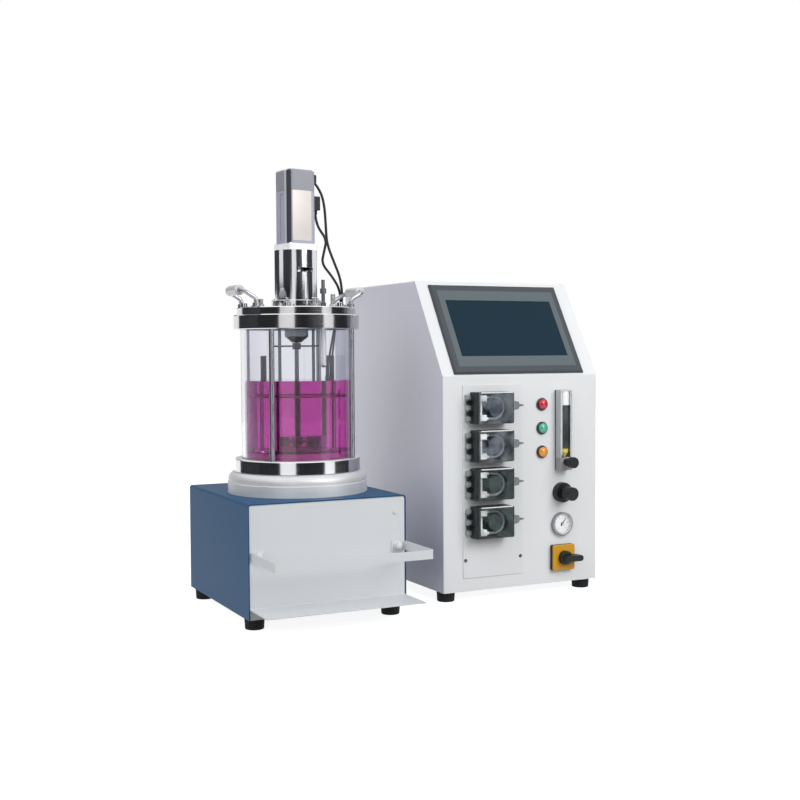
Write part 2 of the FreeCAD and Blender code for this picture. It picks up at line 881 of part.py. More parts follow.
save("seal_housing", seal_housing())
save("stirrer_shaft", stirrer_shaft())
save("impeller", impeller())
save("foam_breaker", foam_breaker())
save("baffle_cage", baffle_cage())
save("dip_tubes", sparger(), thermowell())
save("foam_probe", foam_probe())
save("lid_ports", *[lid_port(name) for name in port_holes],
     *[tube_nut(x, y, dip_tube_r) for x, y in tube_places()])
save("culture_broth", culture_broth())


# ---- stirrer drive ----
def coupling_housing():
    """Turned lantern between lid and motor, with a slot front and back."""
    edge = 1.0
    shape = turned((housing_bore_r, lid_top), (drive_flange_r, lid_top),
                   (drive_flange_r, lid_top + drive_flange_h - edge),
                   (drive_flange_r - edge, lid_top + drive_flange_h),
                   (housing_r, lid_top + drive_flange_h), (housing_r, housing_top),
                   (housing_bore_r, housing_top))
    slot_low = lid_top + window_rise
    slot = block((-window_w / 2, window_w / 2), (-housing_r - 1, housing_r + 1),
                 (slot_low, slot_low + window_h))
    slot.rotate(Vector(0, 0, 0), Vector(0, 0, 1), window_turn)
    holes = [rod(2.2, Vector(x, y, lid_top + 2), Vector(0, 0, 1), drive_flange_h)
             for x, y in ring_places(drive_screw_count, drive_screw_circle_r, 45)]
    return at_vessel(shape.cut([slot] + holes))


def motor_prism(width, corner, low, high):
    shape = block((-width / 2, width / 2), (-width / 2, width / 2), (low, high))
    return bevelled(shape, corner, runs_along(Vector(0, 0, 1)))


def drive_motor():
    """Square servo motor: mounting flange, ribbed body, seam and encoder cover."""
    half = motor_w / 2
    shape = motor_prism(motor_w, motor_corner, motor_base, motor_top)
    shape = bevelled(shape, encoder_bevel, lies_at(Vector(0, 0, 1), motor_top))
    for angle in (90, 180, 270):
        channel = block((-motor_groove_w / 2, motor_groove_w / 2),
                        (-half - 1, -half + motor_groove_depth), (motor_base + 6, encoder_z - 6))
        channel.rotate(Vector(0, 0, 0), Vector(0, 0, 1), angle)
        shape = shape.cut(channel)
    seam_out = motor_prism(motor_w + 2, motor_corner, encoder_z - seam_w / 2, encoder_z + seam_w / 2)
    seam_in = motor_prism(motor_w - seam_w, motor_corner, encoder_z - seam_w, encoder_z + seam_w)
    shape = shape.cut(seam_out.cut(seam_in))
    flange = motor_prism(motor_flange_w, 3.0, housing_top, motor_base)
    spigot = rod(housing_bore_r - fit_gap, Vector(0, 0, housing_top - 3), Vector(0, 0, 1), 3)
    shape = shape.fuse([flange, spigot])
    shape = shape.cut(rod(motor_shaft_r + 1, Vector(0, 0, housing_top - 4), Vector(0, 0, 1), 16))
    return at_vessel(shape, motor_turn)


def shaft_coupling():
    """Clamping coupling with the motor's shaft end in its upper half."""
    middle = shaft_join_z
    half = coupling_l / 2
    hub = turned((shaft_r + fit_gap, middle - half), (coupling_r, middle - half),
                 (coupling_r, middle + half), (motor_shaft_r, middle + half),
                 (motor_shaft_r, housing_top + 8), (0, housing_top + 8), (0, middle + 1),
                 (shaft_r + fit_gap, middle + 1))
    slits = [block((-coupling_r - 1, coupling_r * 0.5), (-coupling_r - 1, coupling_r + 1),
                   (middle + rise, middle + rise + coupling_slit)) for rise in (-8, 5)]
    keep = rod(coupling_r * 0.55, Vector(0, 0, middle - half), Vector(0, 0, 1), coupling_l)
    return at_vessel(hub.cut([slit.cut(keep) for slit in slits]))


def motor_face_point(along, out, height):
    """A point on the motor's right-hand face: along towards the front, out from the face."""
    turn = math.radians(motor_turn)
    normal = Vector(math.cos(turn), math.sin(turn), 0)
    front = Vector(math.sin(turn), -math.cos(turn), 0)
    return vessel_axis + normal * (motor_w / 2 + out) + front * along + Vector(0, 0, height)


def motor_connector(along, low, high, out):
    """A plug housing on the motor's right-hand face."""
    box = block((0, out), (-7, 7), (low, high))
    box = bevelled(box, 1.5, lies_at(Vector(1, 0, 0), out))
    spot = motor_face_point(along, 0, 0)
    box.Placement = FreeCAD.Placement(spot, FreeCAD.Rotation(Vector(0, 0, 1), motor_turn))
    return box


def cable_gland(exit_point, direction, length=8.0):
    """A tapered sleeve that ends where the cable comes out."""
    base = exit_point - direction * length
    return Part.makeCone(cable_r + 2.2, cable_r + 1.0, length, base, direction)


save("coupling_housing", coupling_housing())
save("drive_motor", drive_motor())
save("shaft_coupling", shaft_coupling())


# ---- motor cables, from the motor's plugs to the cabinet's back ----
def legs(plug_x, drive, vessel, ledge, bench, cabinet, plug):
    """A route's corners, each leg given from the place on the object that it passes."""
    places = (Vector(vessel_x, vessel_y, encoder_z), Vector(vessel_x, vessel_y, station_top),
              Vector(station_right, station_back, station_top), Vector(station_right, station_back, 0),
              Vector(cabinet_left, cabinet_back, 0),
              Vector(cabinet_left + plug_x, cabinet_back + rear_reach, foot_h + plug_z))
    return [place + Vector(*spot) for place, leg in zip(places, (drive, vessel, ledge, bench, cabinet, plug))
            for spot in leg]


motor_cable_points = legs(
    motor_plug_x,
    drive=[(39.3, -3.3, -41.5), (41.3, -2.9, -62.0), (65.0, 3.0, -86.5), (64.0, 15.0, -109.5),
           (64.0, 28.0, -131.5), (91.0, 40.0, -154.5), (116.0, 57.0, -181.5)],
    vessel=[(122, 72, 339), (116, 86, 289), (108, 97, 231), (102, 106, 171), (98, 118, 111),
            (97, 134, 61), (98, 155, 27)],
    ledge=[(-50, -7, 16), (-49, 20, 5), (-48, 33, -24)],
    bench=[(-46, 36, 158), (-44, 37, 104), (-41, 38, 56), (-35, 42, 24), (-18, 55, 5), (14, 79, 3),
           (44, 108, 3)],
    cabinet=[(-47, -12, 3), (-30, 29, 3), (3, 57, 3), (47, 69, 3), (87, 72, 5)],
    plug=[(-15, 47, -49), (-5, 43, -29), (-1, 35, -11), (0, 19, 0), (0, 0, 0)])
encoder_cable_points = legs(
    encoder_plug_x,
    drive=[(38.5, -3.5, 17.5), (52.5, -0.2, 3.5), (60.0, 0.5, -25.5), (64.0, 5.0, -61.5),
           (70.0, 15.0, -93.5), (90.0, 29.0, -126.5), (110.0, 41.0, -159.5)],
    vessel=[(118, 52, 363), (117, 71, 306), (113, 83, 248), (111, 94, 188), (110, 106, 128),
            (111, 121, 71), (112, 146, 29)],
    ledge=[(-36, -14, 16), (-35, 14, 5), (-34, 26, -24)],
    bench=[(-32, 28, 158), (-30, 28, 104), (-27, 29, 56), (-21, 32, 24), (-4, 43, 5), (29, 64, 3),
           (63, 92, 3)],
    cabinet=[(-28, -29, 3), (-9, 14, 3), (19, 42, 3), (54, 54, 6)],
    plug=[(-19.5, 43.5, -44.5), (-8.0, 43.5, -25.0), (-1.5, 31.5, -7.5), (0, 13, 0), (0, 0, 0)])


def cable(name, points):
    """A free cable: every bend is as large as the runs beside it allow."""
    radii = []
    for index in range(1, len(points) - 1):
        back = points[index - 1] - points[index]
        ahead = points[index + 1] - points[index]
        half = (math.pi - back.getAngle(ahead)) / 2
        radii.append(0.45 * min(back.Length, ahead.Length) / math.tan(half))
    path = bent_path(points, radii)
    shape = bent_bar(path, cable_r)
    ideal = math.pi * cable_r ** 2 * path.Length
    print(name, "length", round(path.Length), "tightest bend", round(min(radii), 1),
          "volume ratio", round(shape.Volume / ideal, 4), "runs",
          round(min((b - a).Length for a, b in zip(points, points[1:])), 1))
    return shape


save("motor_cable", cable("motor_cable", motor_cable_points))
save("encoder_cable", cable("encoder_cable", encoder_cable_points))

motor_exit, encoder_exit = motor_cable_points[0], encoder_cable_points[0]
motor_way = (motor_cable_points[1] - motor_exit).normalize()
encoder_way = (encoder_cable_points[1] - encoder_exit).normalize()
save("motor_connectors",
     motor_connector(12.0, encoder_z - 34, encoder_z - 8, 16.0).fuse(
         cable_gland(motor_exit, motor_way, 12.0)),
     motor_connector(12.0, encoder_z + 18, encoder_z + 32, 8.0).fuse(
         cable_gland(encoder_exit, encoder_way, 6.5)))


# ---- control cabinet housing ----
def side_profile(inset, front_y, back_y, low, high):
    """The cabinet's side outline, moved in from the front and the slope by an inset."""
    lean = math.tan(math.radians(90 - slope_angle) / 2)
    top_shift = inset / math.sin(math.radians(slope_angle))
    drop = (cabinet_top - high) / math.tan(math.radians(slope_angle))
    face = outline((front_y + inset, low), (front_y + inset, fold_z - inset * lean),
                   (cabinet_front + slope_run + top_shift - drop, high), (back_y, high), (back_y, low))
    face.rotate(Vector(0, 0, 0), Vector(0, 0, 1), 90)
    return face


def cabinet_prism(inset, low, high, left, right, back_y=None):
    face = side_profile(inset, cabinet_front, cabinet_back if back_y is None else back_y, low, high)
    solid = face.extrude(Vector(right - left, 0, 0))
    solid.translate(Vector(left, 0, 0))
    return solid


def on_slope(shape, x, along, out=0.0):
    """Place a shape drawn flat, X to the right and Y up the slope, on the sloping face."""
    lean = math.radians(slope_angle)
    foot = Vector(cabinet_left + x, cabinet_front, fold_z)
    up = Vector(0, math.cos(lean), math.sin(lean))
    normal = Vector(0, -math.sin(lean), math.cos(lean))
    shape.Placement = FreeCAD.Placement(foot + up * along + normal * out,
                                        FreeCAD.Rotation(Vector(1, 0, 0), slope_angle))
    return shape


def screen_block(side, low, high):
    """A block under the screen's outline, moved in all round, between two depths."""
    flat = block((side, screen_w - side), (side, screen_h - side), (low, high))
    return on_slope(flat, screen_left, screen_start)


def pump_z(index):
    return pump_panel_low + pump_panel_h - pump_margin - index * pump_pitch


def lamp_z(index):
    """The first lamp is nearly level with the first pump."""
    return pump_z(0) + lamp_lift - index * lamp_pitch


def front_hole(radius, x, z):
    spot = Vector(cabinet_left + x, cabinet_front - 1, foot_h + z)
    return rod(radius, spot, Vector(0, 1, 0), fascia_t + 2)


def front_box(x, z, y):
    """A box at the cabinet's front, its x and z from the lower left corner and its y from the front face."""
    return block((cabinet_left + x[0], cabinet_left + x[1]),
                 (cabinet_front + y[0], cabinet_front + y[1]), (foot_h + z[0], foot_h + z[1]))


def cabinet_fascia():
    """The folded front: upright face and slope, with an opening for each device."""
    outer = cabinet_prism(0, foot_h, cabinet_top, cabinet_left, cabinet_right)
    inner = cabinet_prism(fascia_t, foot_h - 1, cabinet_top + 1, cabinet_left - 1, cabinet_right + 1,
                          cabinet_back + 1)
    fascia = outer.cut(inner)
    front = lies_at(Vector(0, 1, 0), cabinet_front)
    upright_edge = runs_along(Vector(0, 0, 1))
    fascia = rounded(fascia, fascia_t - 0.5, lambda edge: front(edge) and upright_edge(edge))
    through = (-1, fascia_t + 1)
    side = pump_cutout_side
    low, high = pump_panel_low + side, pump_panel_low + pump_panel_h - side
    right = pump_panel_left + pump_panel_w
    cuts = [screen_block(screen_case_side, -2 * fascia_t, fascia_t),
            front_box((pump_panel_left + side, right - side), (low, high), through),
            front_hole(regulator_neck_r + fit_gap, meter_x, regulator_z),
            front_hole(gauge_stem_r + fit_gap, meter_x, gauge_z)]
    cuts += [front_hole(lamp_stem_r + fit_gap, lamp_x, lamp_z(index)) for index in range(3)]
    half = switch_case_w / 2
    cuts.append(front_box((meter_x - half, meter_x + half), (switch_z - half, switch_z + half), through))
    return fascia.cut(cuts)


def cabinet_cover():
    """Folded cover: two sides and the top, behind the fascia."""
    outer = cabinet_prism(fascia_t, foot_h, cabinet_top, cabinet_left, cabinet_right)
    top = lies_at(Vector(0, 0, 1), cabinet_top)
    lengthwise = runs_along(Vector(0, 1, 0))
    outer = rounded(outer, cabinet_corner_r, lambda edge: top(edge) and lengthwise(edge))
    inner = block((cabinet_left + sheet, cabinet_right - sheet), (cabinet_front - 1, cabinet_back + 1),
                  (foot_h - 1, cabinet_top - sheet))
    inner_top = lies_at(Vector(0, 0, 1), cabinet_top - sheet)
    inner = rounded(inner, cabinet_corner_r - sheet, lambda edge: inner_top(edge) and lengthwise(edge))
    return outer.cut(inner)


def cabinet_chassis():
    """One folded sheet: floor and back, with a field of cooling slots."""
    left, right = cabinet_left + sheet, cabinet_right - sheet
    floor = block((left, right), (cabinet_front + fascia_t, cabinet_back), (foot_h, foot_h + sheet))
    back = block((left, right), (cabinet_back - sheet, cabinet_back),
                 (foot_h, cabinet_top - sheet - cabinet_corner_r))
    chassis = floor.fuse(back).removeSplitter()
    middle = (cabinet_left + cabinet_right) / 2
    slots = []
    for row in range(vent_count):
        low = foot_h + vent_rise + row * vent_pitch
        slots.append(block((middle - vent_w / 2, middle + vent_w / 2),
                           (cabinet_back - sheet - 1, cabinet_back + 1), (low, low + vent_h)))
    return chassis.cut(slots)


def screen_bezel():
    """The screen's frame, stepped in towards the glass, with its case behind the fascia."""
    frame = screen_block(0, 0, bezel_t)
    lean = math.radians(slope_angle)
    normal = Vector(0, -math.sin(lean), math.cos(lean))
    face_value = Vector(cabinet_left, cabinet_front, fold_z).dot(normal) + bezel_t
    frame = bevelled(frame, bezel_edge, lies_at(normal, face_value))
    case = screen_block(screen_case_side + fit_gap, -screen_case_t, 0)
    recess = on_slope(block((glass_side, screen_w - glass_side), (glass_end, screen_h - glass_end),
                            (bezel_t - glass_step, bezel_t + 1)), screen_left, screen_start)
    return frame.fuse(case).cut(recess)


def screen_glass():
    flat = block((glass_side, screen_w - glass_side), (glass_end, screen_h - glass_end),
                 (bezel_t - glass_step, bezel_t - glass_step + glass_t))
    return on_slope(flat, screen_left, screen_start)


save("cabinet_fascia", cabinet_fascia())
save("cabinet_cover", cabinet_cover())
save("cabinet_chassis", cabinet_chassis())
save("screen_bezel", screen_bezel())
save("screen_glass", screen_glass())


# ---- peristaltic pumps: drawn about +Z as the pump's axis, X to the right, Y up ----
pump_face = pump_panel_t + pump_body_t
race_floor = pump_face - pump_race_depth
tube_height = race_floor + rotor_disc_t + 0.5 + roller_l / 2


def pump_head():
    """Body block with a race round the rotor's right side, open to the front."""
    half_w, half_h = pump_body_w / 2, pump_body_h / 2
    body = block((-half_w, half_w), (-half_h, half_h), (pump_panel_t, pump_face))
    body = rounded(body, pump_corner_r, runs_along(Vector(0, 0, 1)))
    race = rod(pump_race_r, Vector(0, 0, race_floor), Vector(0, 0, 1), pump_race_depth + 1)
    open_side = block((pump_race_wall - half_w, 0), (-pump_race_r, pump_race_r),
                      (race_floor, pump_face + 1))
    body = body.cut([race, open_side])
    body = body.cut(rod(rotor_shaft_r + running_gap, Vector(0, 0, 0), Vector(0, 0, 1), pump_face))
    hinge = hinge_places()
    for height in (-lug_spread, 0, lug_spread):
        span = (height - lug_h / 2, height + lug_h / 2)
        lug = block((-half_w - hinge_x - hinge_barrel_r, -half_w + 1), span,
                    (pump_panel_t, hinge_depth + hinge_barrel_r))
        lug = rounded(lug, hinge_barrel_r - 0.2, lambda edge: picks_lug_nose(edge, half_w))
        body = body.fuse(lug)
    pin_hole = rod(hinge_pin_r, hinge - Vector(0, half_h, 0), Vector(0, 1, 0), pump_body_h)
    pin = rod(hinge_pin_r, hinge - Vector(0, lug_spread + lug_h / 2, 0), Vector(0, 1, 0),
              2 * lug_spread + lug_h)
    return body.cut(pin_hole).fuse(pin)


def picks_lug_nose(edge, half_w):
    """The lug's outer front edge, which is rounded about the hinge pin."""
    return (runs_along(Vector(0, 1, 0))(edge)
            and lies_at(Vector(1, 0, 0), -half_w - hinge_x - hinge_barrel_r)(edge)
            and lies_at(Vector(0, 0, 1), hinge_depth + hinge_barrel_r)(edge))


def hinge_places():
    """The hinge pin's middle, beside the body near the panel."""
    return Vector(-pump_body_w / 2 - hinge_x, 0, hinge_depth)


def pump_gearmotor():
    case = rod(gearmotor_r, Vector(0, 0, -gearmotor_l), Vector(0, 0, 1), gearmotor_l)
    return bevelled(case, 1.5, lies_at(Vector(0, 0, 1), -gearmotor_l))


def pump_tube():
    """Soft tube round the rotor's right side, its ends at the pocket's left wall."""
    reach = pump_race_wall - pump_body_w / 2
    radius = pump_tube_bend_r
    first, last = Vector(reach, radius, tube_height), Vector(reach, -radius, tube_height)
    top, low = Vector(0, radius, tube_height), Vector(0, -radius, tube_height)
    path = Part.Wire([Part.makeLine(first, top),
                      Part.Arc(top, Vector(radius, 0, tube_height), low).toShape(),
                      Part.makeLine(low, last)])
    return bent_bar(path, pump_tube_r)


def pump_clip():
    """White clip in the pocket's left end: a block over each tube end, joined by a lower bar."""
    left = pump_race_wall - pump_body_w / 2
    top = pump_face - clip_top_drop
    clip = block((left, left + clip_bar_w), (-pump_race_r, pump_race_r), (race_floor, top - clip_bar_drop))
    ends = [block((left, left + clip_w), span, (race_floor, top))
            for span in ((-pump_race_r, clip_h - pump_race_r), (pump_race_r - clip_h, pump_race_r))]
    clip = bevelled(clip.fuse(ends).removeSplitter(), 1.0, lies_at(Vector(0, 0, 1), top))
    grooves = []
    for side in (-1, 1):
        middle = side * pump_tube_bend_r
        grooves.append(rod(pump_tube_r + running_gap, Vector(left - 1, middle, tube_height), Vector(1, 0, 0),
                           clip_w + 2))
        edge = side * (pump_race_r + 1)
        grooves.append(block((left - 1, left + clip_w + 1), (min(middle, edge), max(middle, edge)),
                             (tube_height - pump_tube_r - running_gap,
                              tube_height + pump_tube_r + running_gap)))
    return clip.cut(grooves)


def pump_rotor():
    """Disc, hub and rollers on a shaft that runs in the body."""
    low = race_floor + 0.5
    disc_r = roller_circle_r + roller_r - 1
    solids = [rod(disc_r, Vector(0, 0, low), Vector(0, 0, 1), rotor_disc_t),
              rod(rotor_hub_r, Vector(0, 0, low), Vector(0, 0, 1), rotor_disc_t + roller_l + 1),
              rod(rotor_shaft_r, Vector(0, 0, pump_panel_t), Vector(0, 0, 1), race_floor)]
    cap = rod(disc_r - 1, Vector(0, 0, low + rotor_disc_t + roller_l), Vector(0, 0, 1), 1.5)
    rotor = solids[0].fuse(solids[1:] + [cap])
    rollers = []
    for index in range(roller_count):
        angle = math.radians(30 + index * 360 / roller_count)
        spot = Vector(roller_circle_r * math.cos(angle), roller_circle_r * math.sin(angle),
                      low + rotor_disc_t)
        rollers.append(rod(roller_r, spot, Vector(0, 0, 1), roller_l))
    return [rotor] + rollers


def pump_cover():
    """Clear lid with a side wall back to the hinge and a pointed thumb tab."""
    half_w, half_h = pump_body_w / 2, pump_body_h / 2
    gap = cover_gap
    inner_left = -half_w - gap
    outer_left = inner_left - cover_t
    front = pump_face + gap + cover_t
    lid = block((outer_left, half_w), (-half_h, half_h), (pump_face + gap, front))
    wall = block((outer_left, inner_left), (-half_h, half_h), (hinge_depth, front))
    cover = lid.fuse(wall).removeSplitter()
    cover = bevelled(cover, cover_t * 0.7, lies_at(Vector(0, 0, 1), front))
    for height in (-lug_spread / 2, lug_spread / 2):
        arm = block((-half_w - hinge_x, inner_left - 0.5), (height - lug_h / 2, height + lug_h / 2),
                    (hinge_depth - hinge_barrel_r, hinge_depth + hinge_barrel_r))
        knuckle = rod(hinge_barrel_r, Vector(-half_w - hinge_x, height - lug_h / 2, hinge_depth),
                      Vector(0, 1, 0), lug_h)
        cover = cover.fuse([arm, knuckle])
    bore = rod(hinge_pin_r + running_gap, hinge_places() - Vector(0, half_h, 0), Vector(0, 1, 0),
               pump_body_h)
    for height in (-lug_spread, 0, lug_spread):
        span = (height - lug_h / 2 - gap, height + lug_h / 2 + gap)
        slot = block((outer_left - 1, inner_left + 0.1), span, (0, hinge_depth + hinge_barrel_r + gap))
        cover = cover.cut(slot)
    tip = half_w + latch_reach
    shoulder = half_w + latch_reach * 0.45
    tab = Part.Face(Part.makePolygon([Vector(x, y + latch_rise, pump_face + gap) for x, y in (
        (half_w - 1, -9), (shoulder, -7), (shoulder + 1, -3), (tip, -1.2), (tip, 1.2),
        (shoulder + 1, 3), (shoulder, 7), (half_w - 1, 9), (half_w - 1, -9))]))
    return cover.cut(bore).fuse(tab.extrude(Vector(0, 0, cover_t * 0.9)))


def pump_panel():
    panel = front_box((pump_panel_left, pump_panel_left + pump_panel_w),
                      (pump_panel_low, pump_panel_low + pump_panel_h), (-pump_panel_t, 0))
    spots = [Vector(cabinet_left + pump_x, cabinet_front - pump_panel_t - 1, foot_h + pump_z(index))
             for index in range(pump_count)]
    return panel.cut([rod(rotor_shaft_r + 1, spot, Vector(0, 1, 0), pump_panel_t + 2) for spot in spots])


def at_pump(shape, index):
    return on_front(shape, pump_x, pump_z(index))


save("pump_panel", pump_panel())
save("pump_heads", *[at_pump(pump_head(), index) for index in range(pump_count)],
     *[at_pump(pump_gearmotor(), index) for index in range(pump_count)])
save("pump_tubes", *[at_pump(pump_tube(), index) for index in range(pump_count)],
     *[at_pump(pump_clip(), index) for index in range(pump_count)])
for number in range(pump_count):
    save("pump_rotor_%d" % (number + 1), *[at_pump(solid, number) for solid in pump_rotor()])
    save("pump_cover_%d" % (number + 1), at_pump(pump_cover(), number))


# ---- lamps ----
def lamp():
    dome_rise = lamp_bezel_t + lamp_lens_h
    side = lamp_bezel_t + lamp_lens_h * 0.55
    return turned((0, -lamp_stem_l), (lamp_stem_r, -lamp_stem_l), (lamp_stem_r, 0), (lamp_bezel_r, 0),
                  (lamp_bezel_r, lamp_bezel_t - 1), (lamp_bezel_r - 1, lamp_bezel_t),
                  (lamp_lens_r, lamp_bezel_t), (lamp_lens_r, side),
                  dome(lamp_lens_r, side, dome_rise))


for number, colour in enumerate(("red", "green", "amber")):
    save("lamp_" + colour, on_front(lamp(), lamp_x, lamp_z(number)))


# ---- flow meter ----
def meter_box(half_w, low, high, near, far):
    return front_box((meter_x - half_w, meter_x + half_w), (low, high), (-far, -near))


meter_low = meter_z + meter_foot_h
meter_high = meter_z + meter_h - meter_edge_h - meter_cap_h
meter_axis_y = meter_t - meter_slot_depth + meter_tube_r + fit_gap


def meter_rod(radius, low, high):
    base = Vector(cabinet_left + meter_x, cabinet_front - meter_axis_y, foot_h + low)
    return rod(radius, base, Vector(0, 0, 1), high - low)


def flowmeter_frame():
    """Channel-shaped frame with a valve block and its bonnet at the foot."""
    frame = meter_box(meter_w / 2, meter_z, meter_z + meter_h, 0, meter_t)
    posts = runs_along(Vector(0, 0, 1))
    front = lies_at(Vector(0, 1, 0), cabinet_front - meter_t)
    frame = rounded(frame, 1.5, lambda edge: posts(edge) and front(edge))
    slot = meter_box(meter_slot_w / 2, meter_low, meter_high + meter_cap_h,
                     meter_t - meter_slot_depth, meter_t + 1)
    height = foot_h + meter_z + meter_knob_z
    face = Vector(cabinet_left + meter_x, cabinet_front - meter_t, height)
    bonnet = rod(meter_bonnet_r, face, Vector(0, -1, 0), meter_bonnet_l)
    hole = rod(spindle_r + running_gap, face - Vector(0, meter_bonnet_l + 1, 0), Vector(0, 1, 0),
               spindle_l + 1)
    return frame.cut(slot).fuse(bonnet).cut(hole)


def flowmeter_cap():
    """Moulded plug that closes the top of the tube, flat where it lies in the channel."""
    cap = meter_rod(meter_cap_r, meter_high, meter_high + meter_cap_h)
    cap = rounded(cap, 1.5, lies_at(Vector(0, 0, 1), foot_h + meter_high + meter_cap_h))
    channel = meter_box(meter_cap_r, meter_high - 1, meter_high + meter_cap_h + 1,
                        meter_t - meter_slot_depth, meter_t + meter_cap_r)
    return cap.common(channel)


def flowmeter_tube():
    return meter_rod(meter_tube_r, meter_low, meter_high).cut(meter_rod(meter_bore_r, meter_low, meter_high))


def flowmeter_float():
    """Top-shaped float, resting at the foot of the tube with no gas flowing."""
    low = meter_low + float_gap
    body = turned((0, 0), (1.2, 0), (float_r, float_h * 0.6), (float_r, float_h), (0, float_h))
    body.translate(Vector(cabinet_left + meter_x, cabinet_front - meter_axis_y, foot_h + low))
    return body


def fluted_knob(radius, length, edge):
    """A turned grip with shallow flutes round its side."""
    knob = turned((0, 0), (radius - 0.5, 0), (radius, 0.5), (radius, length - edge),
                  (radius - edge, length), (0, length))
    flutes = []
    for index in range(flute_count):
        angle = math.radians(index * 360 / flute_count)
        reach = radius + flute_r * 0.35
        spot = Vector(reach * math.cos(angle), reach * math.sin(angle), length * 0.2)
        flutes.append(rod(flute_r, spot, Vector(0, 0, 1), length))
    return knob.cut(flutes)


def knob_with_spindle(radius, length, edge):
    knob = fluted_knob(radius, length, edge)
    return knob.fuse(rod(spindle_r, Vector(0, 0, -spindle_l + 1), Vector(0, 0, 1), spindle_l))


save("flowmeter_frame", flowmeter_frame(), flowmeter_cap())
save("flowmeter_tube", flowmeter_tube())
save("flowmeter_float", flowmeter_float())
save("flowmeter_knob", on_front(knob_with_spindle(meter_knob_r, meter_knob_l, 1.5), meter_x,
                                meter_z + meter_knob_z,
                                cabinet_front - meter_t - meter_bonnet_l - knob_gap))


# ---- pressure regulator ----
regulator_knob_y = cabinet_front - regulator_ring_t - regulator_neck_l - knob_gap


def regulator_body():
    """Ring nut and neck in front of the fascia, body behind it."""
    neck = regulator_ring_t + regulator_neck_l
    body = turned((0, -regulator_body_l), (regulator_ring_r, -regulator_body_l),
                  (regulator_ring_r, -fascia_t), (regulator_neck_r, -fascia_t),
                  (regulator_neck_r, 0), (regulator_ring_r, 0),
                  (regulator_ring_r, regulator_ring_t - 2), (regulator_ring_r - 2, regulator_ring_t),
                  (regulator_neck_r, regulator_ring_t), (regulator_neck_r, neck), (0, neck))
    hole = rod(spindle_r + running_gap, Vector(0, 0, neck - spindle_l), Vector(0, 0, 1), spindle_l + 1)
    return body.cut(hole)


save("regulator_body", on_front(regulator_body(), meter_x, regulator_z))
save("regulator_knob", on_front(knob_with_spindle(regulator_knob_r, regulator_knob_l, 2.0), meter_x,
                                regulator_z, regulator_knob_y))


# ---- pressure gauge ----
def gauge_case():
    """Dished case: rim in front of the fascia, dial at its bottom, stem behind."""
    inner_r = gauge_r - gauge_rim
    dial = gauge_t - gauge_face_depth
    pin_top = dial + needle_t + 2
    return turned((0, -gauge_stem_l), (gauge_stem_r, -gauge_stem_l), (gauge_stem_r, 0), (gauge_r, 0),
                  (gauge_r, gauge_t - 1.5), (gauge_r - 1.5, gauge_t), (inner_r + 0.5, gauge_t),
                  (inner_r, gauge_t - 0.5), (inner_r, dial), (needle_pin_r, dial),
                  (needle_pin_r, pin_top), (0, pin_top))


def gauge_needle():
    """Pointer with a short tail on a boss round the gauge's pin."""
    half = needle_w / 2
    pointer = Part.Face(Part.makePolygon([Vector(x, y, 0) for x, y in (
        (-half, -needle_tail), (half, -needle_tail), (half, 0), (0.25, needle_l), (-0.25, needle_l),
        (-half, 0), (-half, -needle_tail))])).extrude(Vector(0, 0, needle_t))
    boss = rod(needle_pin_r + 1.4, Vector(0, 0, 0), Vector(0, 0, 1), needle_t + 0.7)
    bore = rod(needle_pin_r + running_gap, Vector(0, 0, -1), Vector(0, 0, 1), 5)
    needle = pointer.fuse(boss).cut(bore)
    needle.rotate(Vector(0, 0, 0), Vector(0, 0, 1), -needle_rest)
    return needle


needle_y = cabinet_front - gauge_t + gauge_face_depth - knob_gap
save("gauge_case", on_front(gauge_case(), meter_x, gauge_z))
save("gauge_needle", on_front(gauge_needle(), meter_x, gauge_z, needle_y))


# ---- main switch ----
def switch_plate():
    """Square escutcheon with the switch block behind the fascia."""
    half = switch_plate_w / 2
    plate = block((-half, half), (-half, half), (0, switch_plate_t))
    plate = rounded(plate, 3.0, runs_along(Vector(0, 0, 1)))
    plate = bevelled(plate, 1.0, lies_at(Vector(0, 0, 1), switch_plate_t))
    inside = switch_case_w / 2 - fit_gap
    case = block((-inside, inside), (-inside, inside), (-switch_case_l, 0))
    hole = rod(spindle_r + running_gap, Vector(0, 0, switch_plate_t - spindle_l), Vector(0, 0, 1),
               spindle_l + 1)
    return plate.fuse(case).cut(hole)


def switch_handle():
    """Round hub with a long raised grip, pointing right when the power is on."""
    hub = turned((0, 0), (switch_hub_r, 0), (switch_hub_r, switch_hub_t - 3),
                 (switch_hub_r - 3, switch_hub_t), (0, switch_hub_t))
    half = switch_lever_w / 2
    lever = block((-switch_lever_tail, switch_lever_l), (-half, half), (4, switch_hub_t + switch_lever_t))
    lever = rounded(lever, half - 0.5, runs_along(Vector(0, 0, 1)))
    lever = bevelled(lever, 1.2, lies_at(Vector(0, 0, 1), switch_hub_t + switch_lever_t))
    return hub.fuse([lever, rod(spindle_r, Vector(0, 0, -spindle_l + 1), Vector(0, 0, 1), spindle_l)])


save("switch_plate", on_front(switch_plate(), meter_x, switch_z))
save("switch_handle", on_front(switch_handle(), meter_x, switch_z,
                               cabinet_front - switch_plate_t - knob_gap))


# ---- rear fittings ----
def rear_box(x, z, near, far):
    """A box on the cabinet's back, its x and z from the lower corner under the vessel's side."""
    return block((cabinet_left + x[0], cabinet_left + x[1]),
                 (cabinet_back + near, cabinet_back + far), (foot_h + z[0], foot_h + z[1]))


